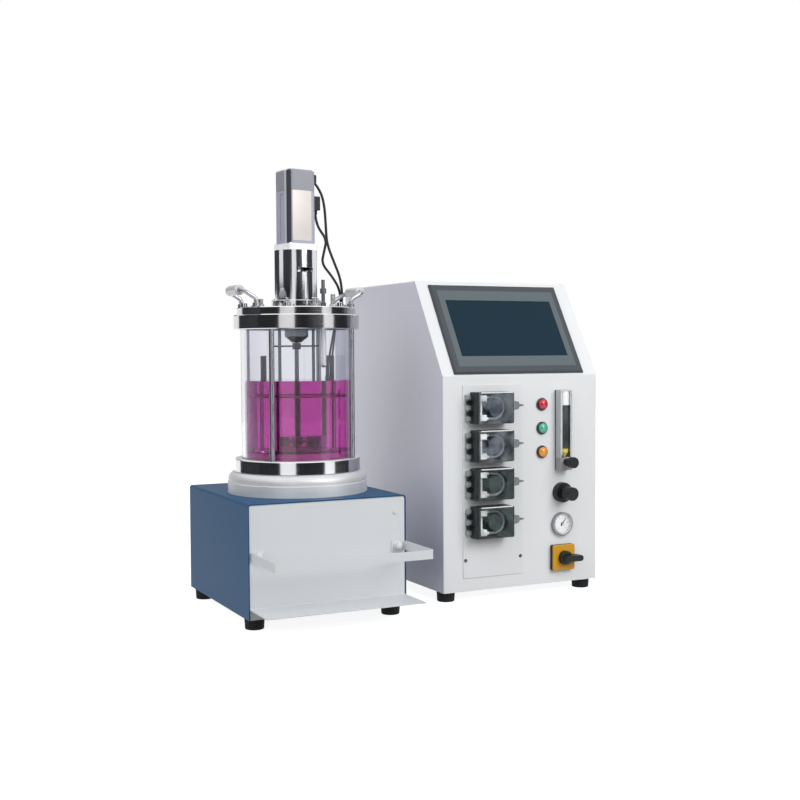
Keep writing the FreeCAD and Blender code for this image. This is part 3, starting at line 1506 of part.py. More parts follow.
def mains_inlet():
    """Appliance inlet: flange with a deep socket for a mains plug."""
    flange = rear_box((inlet_x - inlet_w / 2, inlet_x + inlet_w / 2),
                      (inlet_z - inlet_h / 2, inlet_z + inlet_h / 2), 0, inlet_t)
    case = rear_box((inlet_x - socket_w / 2 - 2, inlet_x + socket_w / 2 + 2),
                    (inlet_z - socket_h / 2 - 2, inlet_z + socket_h / 2 + 2), 0, socket_depth + 2)
    socket = rear_box((inlet_x - socket_w / 2, inlet_x + socket_w / 2),
                      (inlet_z - socket_h / 2, inlet_z + socket_h / 2), 2, socket_depth + 3)
    return flange.fuse(case).cut(socket)


def cable_plug(x):
    """Round plug in its square socket, at the end of a motor cable."""
    half = plug_flange_w / 2
    flange = rear_box((x - half, x + half), (plug_z - half, plug_z + half), 0, plug_flange_t)
    base = Vector(cabinet_left + x, cabinet_back + plug_flange_t, foot_h + plug_z)
    body = rod(plug_r, base, Vector(0, 1, 0), rear_reach - plug_tail_l - plug_flange_t)
    tail = Part.makeCone(plug_r - 1, cable_r + 1, plug_tail_l,
                         base + Vector(0, rear_reach - plug_tail_l - plug_flange_t, 0), Vector(0, 1, 0))
    return flange.fuse([body, tail])


def hose_barb(x):
    """Ribbed hose tail on a hexagon foot."""
    shape = turned((barb_bore_r, 0), (8, 0), (8, 6), (4.5, 6), (4.5, 9), (5.2, 9), (4.0, 14), (5.2, 14),
                   (4.0, 19), (5.2, 19), (3.6, rear_reach), (barb_bore_r, rear_reach))
    spot = Vector(cabinet_left + x, cabinet_back, foot_h + barb_z)
    shape.Placement = FreeCAD.Placement(spot, FreeCAD.Rotation(Vector(1, 0, 0), -90))
    return shape


save("rear_fittings", mains_inlet(), cable_plug(encoder_plug_x), cable_plug(motor_plug_x),
     *[hose_barb(barb_x - index * barb_pitch) for index in range(barb_count)])
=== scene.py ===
import bpy
import bmesh
import math
from mathutils import Matrix, Vector


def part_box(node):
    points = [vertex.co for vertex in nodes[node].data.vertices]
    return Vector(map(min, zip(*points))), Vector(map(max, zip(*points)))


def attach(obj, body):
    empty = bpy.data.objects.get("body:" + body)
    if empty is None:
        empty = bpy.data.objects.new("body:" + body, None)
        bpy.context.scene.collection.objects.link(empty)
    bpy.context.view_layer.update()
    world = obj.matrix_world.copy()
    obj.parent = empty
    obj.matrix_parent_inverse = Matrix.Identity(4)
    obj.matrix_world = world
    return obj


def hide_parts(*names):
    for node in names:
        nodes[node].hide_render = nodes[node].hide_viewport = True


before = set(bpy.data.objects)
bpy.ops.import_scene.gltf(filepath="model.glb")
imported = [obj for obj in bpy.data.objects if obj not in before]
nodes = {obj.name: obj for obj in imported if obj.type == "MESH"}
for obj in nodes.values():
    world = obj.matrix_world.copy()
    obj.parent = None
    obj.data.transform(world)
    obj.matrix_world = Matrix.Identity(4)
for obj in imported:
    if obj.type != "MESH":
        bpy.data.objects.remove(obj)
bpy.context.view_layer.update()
print("frame loaded:", len(nodes), "nodes")

# places shared by several pieces, in metres
axisX, axisY = -0.2255, -0.0455  # the vessel's upright axis
cabinetLeft, cabinetFront, cabinetBack = 0.0285, -0.1565, 0.3045
meterX = cabinetLeft + 0.268  # flow meter, regulator, gauge and switch stand in one column
pumpX = cabinetLeft + 0.098  # the pumps stand in another
lowestPump, pumpPitch = 0.1555, 0.0736
faceDepth = 0.0006  # deep enough to take in one face and nothing behind it


def newObject(name, data):
    made = bpy.data.objects.new(name, data)
    bpy.context.scene.collection.objects.link(made)
    return made


def meshOf(name, built):
    mesh = bpy.data.meshes.new(name)
    built.to_mesh(mesh)
    built.free()
    return mesh


# ---- camera ----
viewer = {
    "place": (-1.0564, -2.1920, 0.4858),
    "turn": 26.03,  # degrees from straight ahead towards the right
    "tilt": -2.30,
    "roll": -0.34,
    "lens": 54.42,
    "sensor": 36.0,
}
cameraData = bpy.data.cameras.new("studioCamera")
cameraData.lens = viewer["lens"]
cameraData.sensor_width = viewer["sensor"]
cameraData.clip_end = 50.0
camera = newObject("studioCamera", cameraData)
camera.matrix_world = (
    Matrix.Translation(viewer["place"])
    @ Matrix.Rotation(-math.radians(viewer["turn"]), 4, "Z")
    @ Matrix.Rotation(math.radians(90 + viewer["tilt"]), 4, "X")
    @ Matrix.Rotation(math.radians(viewer["roll"]), 4, "Z")
)
bpy.context.scene.camera = camera


# ---- node helpers for the finishes ----
def newMaterial(name):
    material = bpy.data.materials.new(name)
    material.use_nodes = True
    return material, material.node_tree, material.node_tree.nodes["Principled BSDF"]


def addNode(tree, kind, **values):
    node = tree.nodes.new(kind)
    for key, value in values.items():
        setattr(node, key, value)
    return node


def setInputs(node, **values):
    for key, value in values.items():
        node.inputs[key.replace("_", " ")].default_value = value


def objectCoords(tree, scale=(1, 1, 1), place=(0, 0, 0)):
    coords = addNode(tree, "ShaderNodeTexCoord")
    mapping = addNode(tree, "ShaderNodeMapping", vector_type="POINT")
    mapping.inputs["Scale"].default_value = scale
    mapping.inputs["Location"].default_value = [-a * b for a, b in zip(place, scale)]
    tree.links.new(coords.outputs["Object"], mapping.inputs["Vector"])
    return mapping.outputs["Vector"]


def turnedCoords(tree, grain):
    # distance from the vessel's axis, so that tool marks run round a turned piece
    spot = objectCoords(tree, place=(axisX, axisY, 0))
    split = addNode(tree, "ShaderNodeSeparateXYZ")
    tree.links.new(spot, split.inputs[0])
    flat = addNode(tree, "ShaderNodeCombineXYZ")
    tree.links.new(split.outputs["X"], flat.inputs["X"])
    tree.links.new(split.outputs["Y"], flat.inputs["Y"])
    reach = addNode(tree, "ShaderNodeVectorMath", operation="LENGTH")
    tree.links.new(flat.outputs[0], reach.inputs[0])
    joined = addNode(tree, "ShaderNodeCombineXYZ")
    tree.links.new(reach.outputs["Value"], joined.inputs["X"])
    tree.links.new(split.outputs["Z"], joined.inputs["Y"])
    scaled = addNode(tree, "ShaderNodeVectorMath", operation="SCALE")
    scaled.inputs["Scale"].default_value = grain
    tree.links.new(joined.outputs[0], scaled.inputs[0])
    return scaled.outputs["Vector"]


def noiseOf(tree, vector, scale, detail=3.0, roughness=0.55):
    noise = addNode(tree, "ShaderNodeTexNoise")
    setInputs(noise, Scale=scale, Detail=detail, Roughness=roughness)
    tree.links.new(vector, noise.inputs["Vector"])
    return noise.outputs["Fac"]


def rangeOf(tree, value, low, high, fromLow=0.3, fromHigh=0.7):
    node = addNode(tree, "ShaderNodeMapRange")
    setInputs(node, From_Min=fromLow, From_Max=fromHigh, To_Min=low, To_Max=high)
    tree.links.new(value, node.inputs["Value"])
    return node.outputs["Result"]


def mixedColour(tree, factor, first, second):
    node = addNode(tree, "ShaderNodeMix", data_type="RGBA")
    node.inputs[6].default_value = (*first, 1)
    node.inputs[7].default_value = (*second, 1)
    tree.links.new(factor, node.inputs["Factor"])
    return node.outputs[2]


def bumpOf(tree, shader, height, strength, distance):
    bump = addNode(tree, "ShaderNodeBump")
    setInputs(bump, Strength=strength, Distance=distance)
    tree.links.new(height, bump.inputs["Height"])
    tree.links.new(bump.outputs["Normal"], shader.inputs["Normal"])


def turnedSpot(tree, axis, degrees, origin):
    # position measured from a place, in a frame turned about one axis
    coords = addNode(tree, "ShaderNodeTexCoord")
    shift = addNode(tree, "ShaderNodeVectorMath", operation="SUBTRACT")
    shift.inputs[1].default_value = origin
    tree.links.new(coords.outputs["Object"], shift.inputs[0])
    turn = addNode(tree, "ShaderNodeVectorRotate", rotation_type=axis + "_AXIS")
    turn.inputs["Angle"].default_value = math.radians(-degrees)
    tree.links.new(shift.outputs[0], turn.inputs["Vector"])
    return turn.outputs[0]


zoneEdge = 0.0002  # half the width of a zone's soft edge


def zoneMask(tree, spot, span):
    # 1 inside the given limits, 0 outside
    split = addNode(tree, "ShaderNodeSeparateXYZ")
    tree.links.new(spot, split.inputs[0])
    mask = None
    for axis, limits in span.items():
        for limit, inside in zip(limits, (1, 0)):
            if limit is None:
                continue
            part = rangeOf(tree, split.outputs[axis], 1 - inside, inside, limit - zoneEdge, limit + zoneEdge)
            if mask is None:
                mask = part
                continue
            both = addNode(tree, "ShaderNodeMath", operation="MULTIPLY")
            tree.links.new(mask, both.inputs[0])
            tree.links.new(part, both.inputs[1])
            mask = both.outputs[0]
    return mask


def addZone(material, frameOf, span, colour, metallic=None, rough=None, solid=None, clear=None):
    # one region of a piece in its own colour, and with its own sheen where given
    tree = material.node_tree
    shader = tree.nodes["Principled BSDF"]
    mask = zoneMask(tree, frameOf(tree), span)
    values = {"Base Color": colour, "Metallic": metallic, "Roughness": rough, "Alpha": solid,
              "Transmission Weight": clear}
    for socket, value in values.items():
        if value is None:
            continue
        # the mix node keeps its number inputs before its colour inputs
        kind, first, second, out = ("RGBA", 6, 7, 2) if socket == "Base Color" else ("FLOAT", 2, 3, 0)
        node = addNode(tree, "ShaderNodeMix", data_type=kind)
        node.inputs[second].default_value = (*value, 1) if kind == "RGBA" else value
        if shader.inputs[socket].is_linked:
            tree.links.new(shader.inputs[socket].links[0].from_socket, node.inputs[first])
        else:
            node.inputs[first].default_value = shader.inputs[socket].default_value
        tree.links.new(mask, node.inputs["Factor"])
        tree.links.new(node.outputs[out], shader.inputs[socket])


def shade(colour, factor):
    return tuple(channel * factor for channel in colour)


def srgb(red, green, blue):
    # 0 to 255 display values to the linear values that shaders take
    def linear(value):
        value /= 255
        return value / 12.92 if value <= 0.04045 else ((value + 0.055) / 1.055) ** 2.4
    return linear(red), linear(green), linear(blue)


# ---- finishes ----
def sheetPaint(name, look):
    # powder-coated sheet: orange-peel skin and a faint tone drift
    material, tree, shader = newMaterial(name)
    spot = objectCoords(tree)
    drift = noiseOf(tree, spot, 5.0, 2.0)
    tone = mixedColour(tree, rangeOf(tree, drift, 0, 1), shade(look["colour"], 0.965), look["colour"])
    tree.links.new(tone, shader.inputs["Base Color"])
    skin = noiseOf(tree, spot, look["grain"], 2.0)
    tree.links.new(rangeOf(tree, skin, look["rough"] - 0.05, look["rough"] + 0.05), shader.inputs["Roughness"])
    bumpOf(tree, shader, skin, look["peel"], 0.0004)
    shader.inputs["Specular IOR Level"].default_value = look["gloss"]
    return material


def turnedSteel(name, look):
    # metal turned on a lathe: fine marks round the vessel's axis
    material, tree, shader = newMaterial(name)
    rings = noiseOf(tree, turnedCoords(tree, look["grain"]), 1.0, 4.0)
    cloud = noiseOf(tree, objectCoords(tree), 24.0, 3.0)
    tone = mixedColour(tree, rangeOf(tree, cloud, 0, 1), shade(look["colour"], 0.93), look["colour"])
    tree.links.new(tone, shader.inputs["Base Color"])
    tree.links.new(rangeOf(tree, rings, look["rough"] * 0.75, look["rough"] * 1.3), shader.inputs["Roughness"])
    setInputs(shader, Metallic=look.get("metal", 1.0))
    bumpOf(tree, shader, rings, look["marks"], 0.0002)
    return material


def plainSteel(name, look):
    # bright metal with faint clouding and hairline scratches along one direction
    material, tree, shader = newMaterial(name)
    lines = noiseOf(tree, objectCoords(tree, (900, 900, 60)), 1.0, 3.0)
    cloud = noiseOf(tree, objectCoords(tree), 30.0, 3.0)
    tone = mixedColour(tree, rangeOf(tree, cloud, 0, 1), shade(look["colour"], 0.92), look["colour"])
    tree.links.new(tone, shader.inputs["Base Color"])
    tree.links.new(rangeOf(tree, lines, look["rough"] * 0.7, look["rough"] * 1.4), shader.inputs["Roughness"])
    setInputs(shader, Metallic=1.0)
    bumpOf(tree, shader, lines, look["marks"], 0.0001)
    return material


def mouldedPlastic(name, look):
    # fine spark texture, a little tone drift
    material, tree, shader = newMaterial(name)
    spot = objectCoords(tree)
    grain = noiseOf(tree, spot, look["grain"], 3.0)
    drift = noiseOf(tree, spot, 18.0)
    tone = mixedColour(tree, rangeOf(tree, drift, 0, 1), shade(look["colour"], 0.9), look["colour"])
    tree.links.new(tone, shader.inputs["Base Color"])
    tree.links.new(rangeOf(tree, grain, look["rough"] - 0.06, look["rough"] + 0.06), shader.inputs["Roughness"])
    bumpOf(tree, shader, grain, look["texture"], 0.0003)
    setInputs(shader, Coat_Weight=look.get("coat", 0.0), Coat_Roughness=0.1, Specular_IOR_Level=look.get("gloss", 0.5))
    return material


def clearMaterial(name, look):
    # glass, acrylic and liquid: refraction with faint smears in the surface
    material, tree, shader = newMaterial(name)
    spot = objectCoords(tree)
    smear = noiseOf(tree, spot, look.get("smear", 9.0), 3.0)
    deep = shade(look["colour"], look.get("drift", 0.985))
    tone = mixedColour(tree, rangeOf(tree, smear, 0, 1), deep, look["colour"])
    tree.links.new(tone, shader.inputs["Base Color"])
    tree.links.new(rangeOf(tree, smear, look["rough"], look["rough"] + 0.03), shader.inputs["Roughness"])
    setInputs(shader, IOR=look["ior"], Transmission_Weight=look.get("clear", 1.0))
    return material


def filmMaterial(name, look):
    # thin clear moulding, see-through enough for what it covers to stay lit
    material, tree, shader = newMaterial(name)
    smear = noiseOf(tree, objectCoords(tree), look["smear"], 3.0)
    tone = mixedColour(tree, rangeOf(tree, smear, 0, 1), shade(look["colour"], 0.9), look["colour"])
    tree.links.new(tone, shader.inputs["Base Color"])
    low, high = max(0.0, look["haze"] - look["spread"]), look["haze"] + look["spread"]
    tree.links.new(rangeOf(tree, smear, low, high, 0.36, 0.64), shader.inputs["Alpha"])
    setInputs(shader, Roughness=0.08, Specular_IOR_Level=look["gloss"])
    return material


paints = {
    "cover": sheetPaint("bluePowderCoat", {
        "colour": srgb(34, 80, 118), "grain": 900, "rough": 0.45, "peel": 0.2, "gloss": 0.10}),
    "panel": sheetPaint("paleGreyCoat", {
        "colour": srgb(206, 209, 212), "grain": 900, "rough": 0.45, "peel": 0.2, "gloss": 0.3}),
    "cabinet": sheetPaint("whiteCoat", {
        "colour": srgb(218, 220, 222), "grain": 1000, "rough": 0.33, "peel": 0.12, "gloss": 0.5}),
    "pumpPanel": sheetPaint("panelCoat", {
        "colour": srgb(216, 218, 220), "grain": 1000, "rough": 0.42, "peel": 0.15, "gloss": 0.3}),
}
steels = {
    "turned": turnedSteel("turnedSteel", {
        "colour": (0.70, 0.70, 0.72), "grain": 500, "rough": 0.12, "marks": 0.035}),
    "mirror": turnedSteel("polishedSteel", {
        "colour": (0.74, 0.75, 0.77), "grain": 900, "rough": 0.11, "marks": 0.02}),
    "satin": turnedSteel("satinDais", {
        "colour": (0.66, 0.67, 0.69), "grain": 400, "rough": 0.45, "marks": 0.06, "metal": 0.4}),
    # painted shade: the steel inside the vessel is darkened
    "inner": plainSteel("innerSteelPaintedShade", {"colour": (0.20, 0.21, 0.23), "rough": 0.18, "marks": 0.06}),
    # painted light: the cage steel is near white so it reads lit through the liquid; its part above the liquid gets
    # painted shade further down
    "cage": plainSteel("cageSteel", {"colour": (0.95, 0.93, 0.97), "rough": 0.36, "marks": 0.06}),
    "rod": plainSteel("rodSteel", {"colour": (0.40, 0.40, 0.44), "rough": 0.30, "marks": 0.05}),
    "bright": plainSteel("brightSteel", {"colour": (0.74, 0.74, 0.74), "rough": 0.16, "marks": 0.1}),
    "frame": plainSteel("anodisedAluminium", {"colour": (0.62, 0.63, 0.65), "rough": 0.3, "marks": 0.2}),
    "rim": plainSteel("gaugeRimSteel", {"colour": (0.34, 0.34, 0.36), "rough": 0.28, "marks": 0.1}),
    "dark": plainSteel("darkSteel", {"colour": (0.10, 0.10, 0.11), "rough": 0.3, "marks": 0.15}),
    "coupling": turnedSteel("couplingAluminium", {
        "colour": (0.66, 0.67, 0.70), "grain": 800, "rough": 0.3, "marks": 0.3}),
}
plastics = {
    "rubber": mouldedPlastic("blackRubber", {
        "colour": srgb(22, 26, 27), "grain": 700, "rough": 0.62, "texture": 0.35, "gloss": 0.2}),
    "seal": mouldedPlastic("greySeal", {
        "colour": srgb(70, 70, 70), "grain": 700, "rough": 0.55, "texture": 0.2}),
    "bezel": mouldedPlastic("bezelPlastic", {
        "colour": srgb(52, 58, 64), "grain": 1300, "rough": 0.48, "texture": 0.3}),
    "black": mouldedPlastic("blackPlastic", {
        "colour": srgb(24, 28, 31), "grain": 1000, "rough": 0.36, "texture": 0.12, "gloss": 0.28}),
    "pumpBody": mouldedPlastic("pumpPlastic", {
        "colour": srgb(24, 31, 34), "grain": 900, "rough": 0.38, "texture": 0.2, "gloss": 0.3}),
    "rotor": mouldedPlastic("rotorPlastic", {
        "colour": srgb(46, 54, 66), "grain": 900, "rough": 0.35, "texture": 0.15, "gloss": 0.3}),
    "grip": mouldedPlastic("gripPlastic", {
        "colour": srgb(205, 205, 208), "grain": 500, "rough": 0.25, "texture": 0.1, "coat": 0.4}),
    "probe": mouldedPlastic("probePlastic", {
        "colour": srgb(252, 252, 252), "grain": 600, "rough": 0.3, "texture": 0.1}),
    "tube": mouldedPlastic("siliconeTube", {
        "colour": srgb(240, 241, 242), "grain": 500, "rough": 0.4, "texture": 0.1}),
    "yellow": mouldedPlastic("switchYellow", {
        "colour": srgb(205, 150, 34), "grain": 900, "rough": 0.36, "texture": 0.12, "gloss": 0.3}),
    "float": mouldedPlastic("floatYellow", {
        "colour": srgb(225, 210, 50), "grain": 900, "rough": 0.3, "texture": 0.1}),
    "dial": mouldedPlastic("dialWhite", {
        "colour": srgb(232, 233, 232), "grain": 1200, "rough": 0.4, "texture": 0.05}),
    "label": mouldedPlastic("blankLabel", {
        "colour": srgb(226, 217, 213), "grain": 1500, "rough": 0.35, "texture": 0.04}),
    "ink": mouldedPlastic("printedInk", {
        "colour": srgb(34, 34, 38), "grain": 1500, "rough": 0.5, "texture": 0.03}),
    "cable": mouldedPlastic("cableJacket", {
        "colour": srgb(30, 33, 36), "grain": 1200, "rough": 0.45, "texture": 0.25}),
    "motor": mouldedPlastic("motorCoat", {
        "colour": srgb(170, 170, 188), "grain": 700, "rough": 0.4, "texture": 0.2}),
}
clears = {
    "vessel": clearMaterial("vesselGlass", {"colour": (0.865, 0.87, 0.915), "rough": 0.0, "ior": 1.47}),
    "broth": clearMaterial("magentaBroth", {
        "colour": srgb(190, 54, 156), "rough": 0.02, "ior": 1.34, "smear": 14.0, "drift": 0.93}),
    "cover": filmMaterial("clearCover", {
        "colour": srgb(160, 170, 180), "haze": 0.11, "spread": 0.11, "smear": 42.0, "gloss": 0.25}),
    "screen": clearMaterial("screenGlass", {
        "colour": srgb(20, 42, 56), "rough": 0.08, "ior": 1.22, "clear": 0.0}),
    "lens": clearMaterial("gaugeLens", {"colour": (0.97, 0.98, 0.98), "rough": 0.0, "ior": 1.2}),
    "meter": filmMaterial("meterTube", {
        "colour": srgb(214, 222, 224), "haze": 0.03, "spread": 0.02, "smear": 20.0, "gloss": 0.2}),
}


def lensMaterial(name, colour):
    # moulded lamp lens: clear colour over a fine ribbed back
    material, tree, shader = newMaterial(name)
    spot = objectCoords(tree)
    ribs = addNode(tree, "ShaderNodeTexVoronoi")
    setInputs(ribs, Scale=520.0)
    tree.links.new(spot, ribs.inputs["Vector"])
    tone = mixedColour(tree, rangeOf(tree, ribs.outputs["Distance"], 0, 1, 0.0, 0.8), shade(colour, 0.7), colour)
    tree.links.new(tone, shader.inputs["Base Color"])
    setInputs(shader, Roughness=0.18, Coat_Weight=0.6, Coat_Roughness=0.05)
    bumpOf(tree, shader, ribs.outputs["Distance"], 0.2, 0.0004)
    return material


finishes = {
    "station_cover": paints["cover"], "station_front_panel": paints["panel"], "station_chassis": paints["panel"],
    "bottle_rail": paints["panel"], "rubber_feet": plastics["rubber"], "heating_dais": steels["satin"],
    "bottom_flange": steels["turned"], "vessel_glass": clears["vessel"], "vessel_gaskets": plastics["seal"],
    "top_ring": steels["turned"], "tie_rods": steels["rod"], "lid_plate": steels["turned"],
    "lid_screws": steels["bright"], "handle_bails": steels["rod"], "handle_grips": plastics["grip"],
    "seal_housing": steels["inner"], "stirrer_shaft": steels["inner"], "impeller": steels["rod"],
    "foam_breaker": steels["dark"], "baffle_cage": steels["cage"], "dip_tubes": steels["inner"],
    "foam_probe": plastics["probe"], "lid_ports": steels["bright"], "culture_broth": clears["broth"],
    "coupling_housing": steels["mirror"], "drive_motor": plastics["motor"], "shaft_coupling": steels["coupling"],
    "motor_connectors": plastics["black"], "cabinet_cover": paints["cabinet"], "cabinet_fascia": paints["cabinet"],
    "cabinet_chassis": paints["cabinet"], "screen_bezel": plastics["bezel"], "screen_glass": clears["screen"],
    "pump_panel": paints["pumpPanel"], "pump_heads": plastics["pumpBody"], "pump_tubes": plastics["tube"],
    "lamp_red": lensMaterial("redLens", srgb(190, 38, 56)), "lamp_green": lensMaterial("greenLens", srgb(72, 178, 142)),
    "lamp_amber": lensMaterial("amberLens", srgb(228, 152, 48)), "flowmeter_frame": steels["frame"],
    "flowmeter_tube": clears["meter"], "flowmeter_float": plastics["float"], "flowmeter_knob": plastics["black"],
    "regulator_body": plastics["black"], "regulator_knob": plastics["black"], "gauge_case": plastics["dial"],
    "gauge_needle": plastics["black"], "switch_plate": plastics["yellow"], "switch_handle": plastics["black"],
    "rear_fittings": plastics["black"],
}
for number in range(1, 5):
    finishes["pump_rotor_%d" % number] = plastics["rotor"]
    finishes["pump_cover_%d" % number] = clears["cover"]

motorTurn = 10.0  # degrees about the vessel's axis
slopeAngle = 58.24  # degrees from level
bezelLeft, slopeFoot = cabinetLeft + 0.026, 0.437
motorFlange, encoderHeight = 0.012, 0.039
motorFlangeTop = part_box("coupling_housing")[1][2] + motorFlange
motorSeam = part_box("drive_motor")[1][2] - encoderHeight
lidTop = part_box("lid_plate")[1][2]
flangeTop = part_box("bottom_flange")[1][2]
brothLow, brothHigh = (corner[2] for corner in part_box("culture_broth"))
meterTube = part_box("flowmeter_tube")
meterLeft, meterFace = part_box("flowmeter_frame")[0][:2]
lowPumpsTop = lowestPump + 1.5 * pumpPitch


def motorFrame(tree):
    return turnedSpot(tree, "Z", motorTurn, (axisX, axisY, 0))


def slopeFrame(tree):
    # X to the right from the bezel's left edge, Y up the slope from the fold
    return turnedSpot(tree, "X", slopeAngle, (bezelLeft, cabinetFront, slopeFoot))


def pumpFrame(tree):
    # X to the right and Z up from the nearest pump's axis, Y into the cabinet
    spot = objectCoords(tree, place=(pumpX, cabinetFront, lowestPump))
    split = addNode(tree, "ShaderNodeSeparateXYZ")
    tree.links.new(spot, split.inputs[0])
    row = addNode(tree, "ShaderNodeMath", operation="WRAP")
    tree.links.new(split.outputs["Z"], row.inputs[0])
    row.inputs[1].default_value, row.inputs[2].default_value = pumpPitch / 2, -pumpPitch / 2
    joined = addNode(tree, "ShaderNodeCombineXYZ")
    for axis, value in (("X", split.outputs["X"]), ("Y", split.outputs["Y"]), ("Z", row.outputs[0])):
        tree.links.new(value, joined.inputs[axis])
    return joined.outputs[0]


# ---- regions of a piece; some of their tones are painted light: painted highlights, painted shade and painted reflections ----
# motor: encoder, at the corner a dark strip that is a painted reflection and a light strip that is a painted highlight,
# flange
addZone(plastics["motor"], motorFrame, {"Z": (motorSeam, None)}, srgb(142, 144, 152))
# painted reflection: dark strip down the corner chamfer
addZone(plastics["motor"], motorFrame, {"Z": (motorFlangeTop, None), "X": (None, -0.0245), "Y": (None, -0.0155)},
        srgb(44, 49, 60))
# painted highlight: light strip beside the dark one
addZone(plastics["motor"], motorFrame, {"Z": (motorFlangeTop, None), "X": (None, -0.0250), "Y": (-0.0155, -0.0085)},
        srgb(186, 190, 198))
addZone(plastics["motor"], motorFrame, {"Z": (None, motorFlangeTop)}, srgb(246, 246, 248), 0.0, 0.25)

# flow meter's frame: left side lightened as a painted highlight, front rail, foot darkened as painted shade, bonnet,
# rear edge darkened as painted shade against the cabinet
# painted highlight: the left side face is light and not metallic
addZone(steels["frame"], objectCoords, {"X": (None, meterLeft + faceDepth)}, srgb(178, 186, 188), 0.0, 0.3)
addZone(steels["frame"], objectCoords,
        {"X": (meterLeft + faceDepth, meterX - 0.0088), "Y": (None, meterFace + faceDepth),
         "Z": (meterTube[0][2], None)},
        srgb(34, 40, 42), 0.0, 0.4)
# painted shade: the foot below the tube is darker
addZone(steels["frame"], objectCoords, {"Z": (None, meterTube[0][2] - 0.001)}, srgb(150, 146, 152), 0.0, 0.4)
addZone(steels["frame"], objectCoords,
        {"X": (meterX - 0.0094, meterX + 0.0094), "Y": (None, cabinetFront - 0.0032),
         "Z": (meterTube[1][2], meterTube[1][2] + 0.027)},
        srgb(240, 240, 240), 0.0, 0.3)
# painted shade: the rear edge against the cabinet is darker
addZone(steels["frame"], objectCoords, {"Y": (cabinetFront - 0.004, None)}, srgb(70, 74, 78), 0.0, 0.4)

# vessel: probe under the lid made metallic white as a painted sheen, probe above the lid, flange's face paled as
# painted light under the liquid, cage above the liquid darkened as painted shade, liquid's floor and lowest band
# brightened as painted light
# painted sheen: the white probe under the lid reflects the bright backdrop like metal, so it reads lit inside the glass
addZone(plastics["probe"], objectCoords, {"Z": (None, lidTop - 0.012)}, (1, 1, 1), 0.85, 0.35)
addZone(plastics["probe"], objectCoords, {"Z": (lidTop, None)}, (0.16, 0.17, 0.19), 1.0, 0.3)
# painted light: the flange's face under the liquid is pale and nearly matt
addZone(steels["turned"], objectCoords, {"Z": (flangeTop - faceDepth, flangeTop + faceDepth)},
        (0.82, 0.82, 0.83), 0.2, 0.4)
# painted shade: the cage above the liquid is dark
addZone(steels["cage"], objectCoords, {"Z": (brothHigh, None)}, (0.16, 0.17, 0.19))
# painted light: a pale opaque floor and a brighter pink band at the bottom of the liquid
addZone(clears["broth"], objectCoords, {"Z": (None, brothLow + faceDepth)}, srgb(255, 205, 245), 0.0, 0.5, clear=0.0)
addZone(clears["broth"], objectCoords, {"Z": (brothLow + faceDepth, brothLow + 0.012)}, srgb(214, 60, 166), clear=0.3)

# cabinet: left face tinted lavender as painted light, bezel's inner ring, edge of the switch plate
# painted light: the left face alone carries a cool lavender tint of the light on that side
addZone(paints["cabinet"], objectCoords, {"X": (None, cabinetLeft + faceDepth)}, srgb(215, 215, 227))
addZone(plastics["bezel"], slopeFrame, {"X": (0.0135, 0.2825), "Y": (0.019, 0.196)}, srgb(76, 87, 92))
addZone(plastics["yellow"], objectCoords, {"Y": (cabinetFront - 0.0085, None)}, srgb(30, 32, 34))

# pumps: lower pair tinted greener as painted light, cover's tab, top edge whitened as a painted highlight, hinge edge
# darkened as painted shade, tube right of its clip greyed as painted shade under the cover, left side of the body
# painted light: covers and rotors of the lower pair are greener than those of the identical upper pair
addZone(clears["cover"], objectCoords, {"Z": (None, lowPumpsTop)}, srgb(98, 114, 112))
addZone(plastics["rotor"], objectCoords, {"Z": (None, lowPumpsTop)}, srgb(38, 48, 50))
addZone(clears["cover"], pumpFrame, {"X": (0.0402, None)}, srgb(118, 126, 124), solid=0.9)
# painted highlight: a white, more solid line along the cover's top edge
addZone(clears["cover"], pumpFrame, {"X": (-0.034, 0.036), "Z": (0.0286, None)}, srgb(226, 230, 232), solid=0.8)
# painted shade: the cover's hinge edge is dark
addZone(clears["cover"], pumpFrame, {"X": (None, -0.0390)}, srgb(40, 46, 48), solid=0.7)
# painted shade: the white tube beyond its clip is grey
addZone(plastics["tube"], pumpFrame, {"X": (-0.0125, None)}, srgb(122, 128, 134))
addZone(plastics["pumpBody"], objectCoords, {"X": (None, cabinetLeft + 0.0575)}, srgb(150, 156, 154))
for nodeName, finish in finishes.items():
    mesh = nodes[nodeName].data
    mesh.materials.clear()
    mesh.materials.append(finish)
print("finishes set:", len(finishes))


# ---- cables: from the motor's plugs to the cabinet's back, points in millimetres ----
motorCordFacts = {
    "length": 1.242,
    "diameter": 0.005,
    "points": [
        (-186.2, -48.8, 746.0), (-184.2, -48.4, 725.5), (-160.5, -42.5, 701.0), (-161.5, -30.5, 678.0),
        (-161.5, -17.5, 656.0), (-134.5, -5.5, 633.0), (-109.5, 11.5, 606.0), (-103.5, 26.5, 562),
        (-109.5, 40.5, 512), (-117.5, 51.5, 454), (-123.5, 60.5, 394), (-127.5, 72.5, 334),
        (-128.5, 88.5, 284), (-127.5, 109.5, 250), (-127.5, 137.5, 239), (-126.5, 164.5, 228),
        (-125.5, 177.5, 199), (-123.5, 180.5, 158), (-121.5, 181.5, 104), (-118.5, 182.5, 56),
        (-112.5, 186.5, 24), (-95.5, 199.5, 5), (-63.5, 223.5, 3), (-33.5, 252.5, 3),
        (-18.5, 292.5, 3), (-1.5, 333.5, 3), (31.5, 361.5, 3), (75.5, 373.5, 3),
        (115.5, 376.5, 5), (136.5, 375.5, 17), (146.5, 371.5, 37), (150.5, 363.5, 55),
        (151.5, 347.5, 66), (151.5, 328.5, 66),
    ],
}
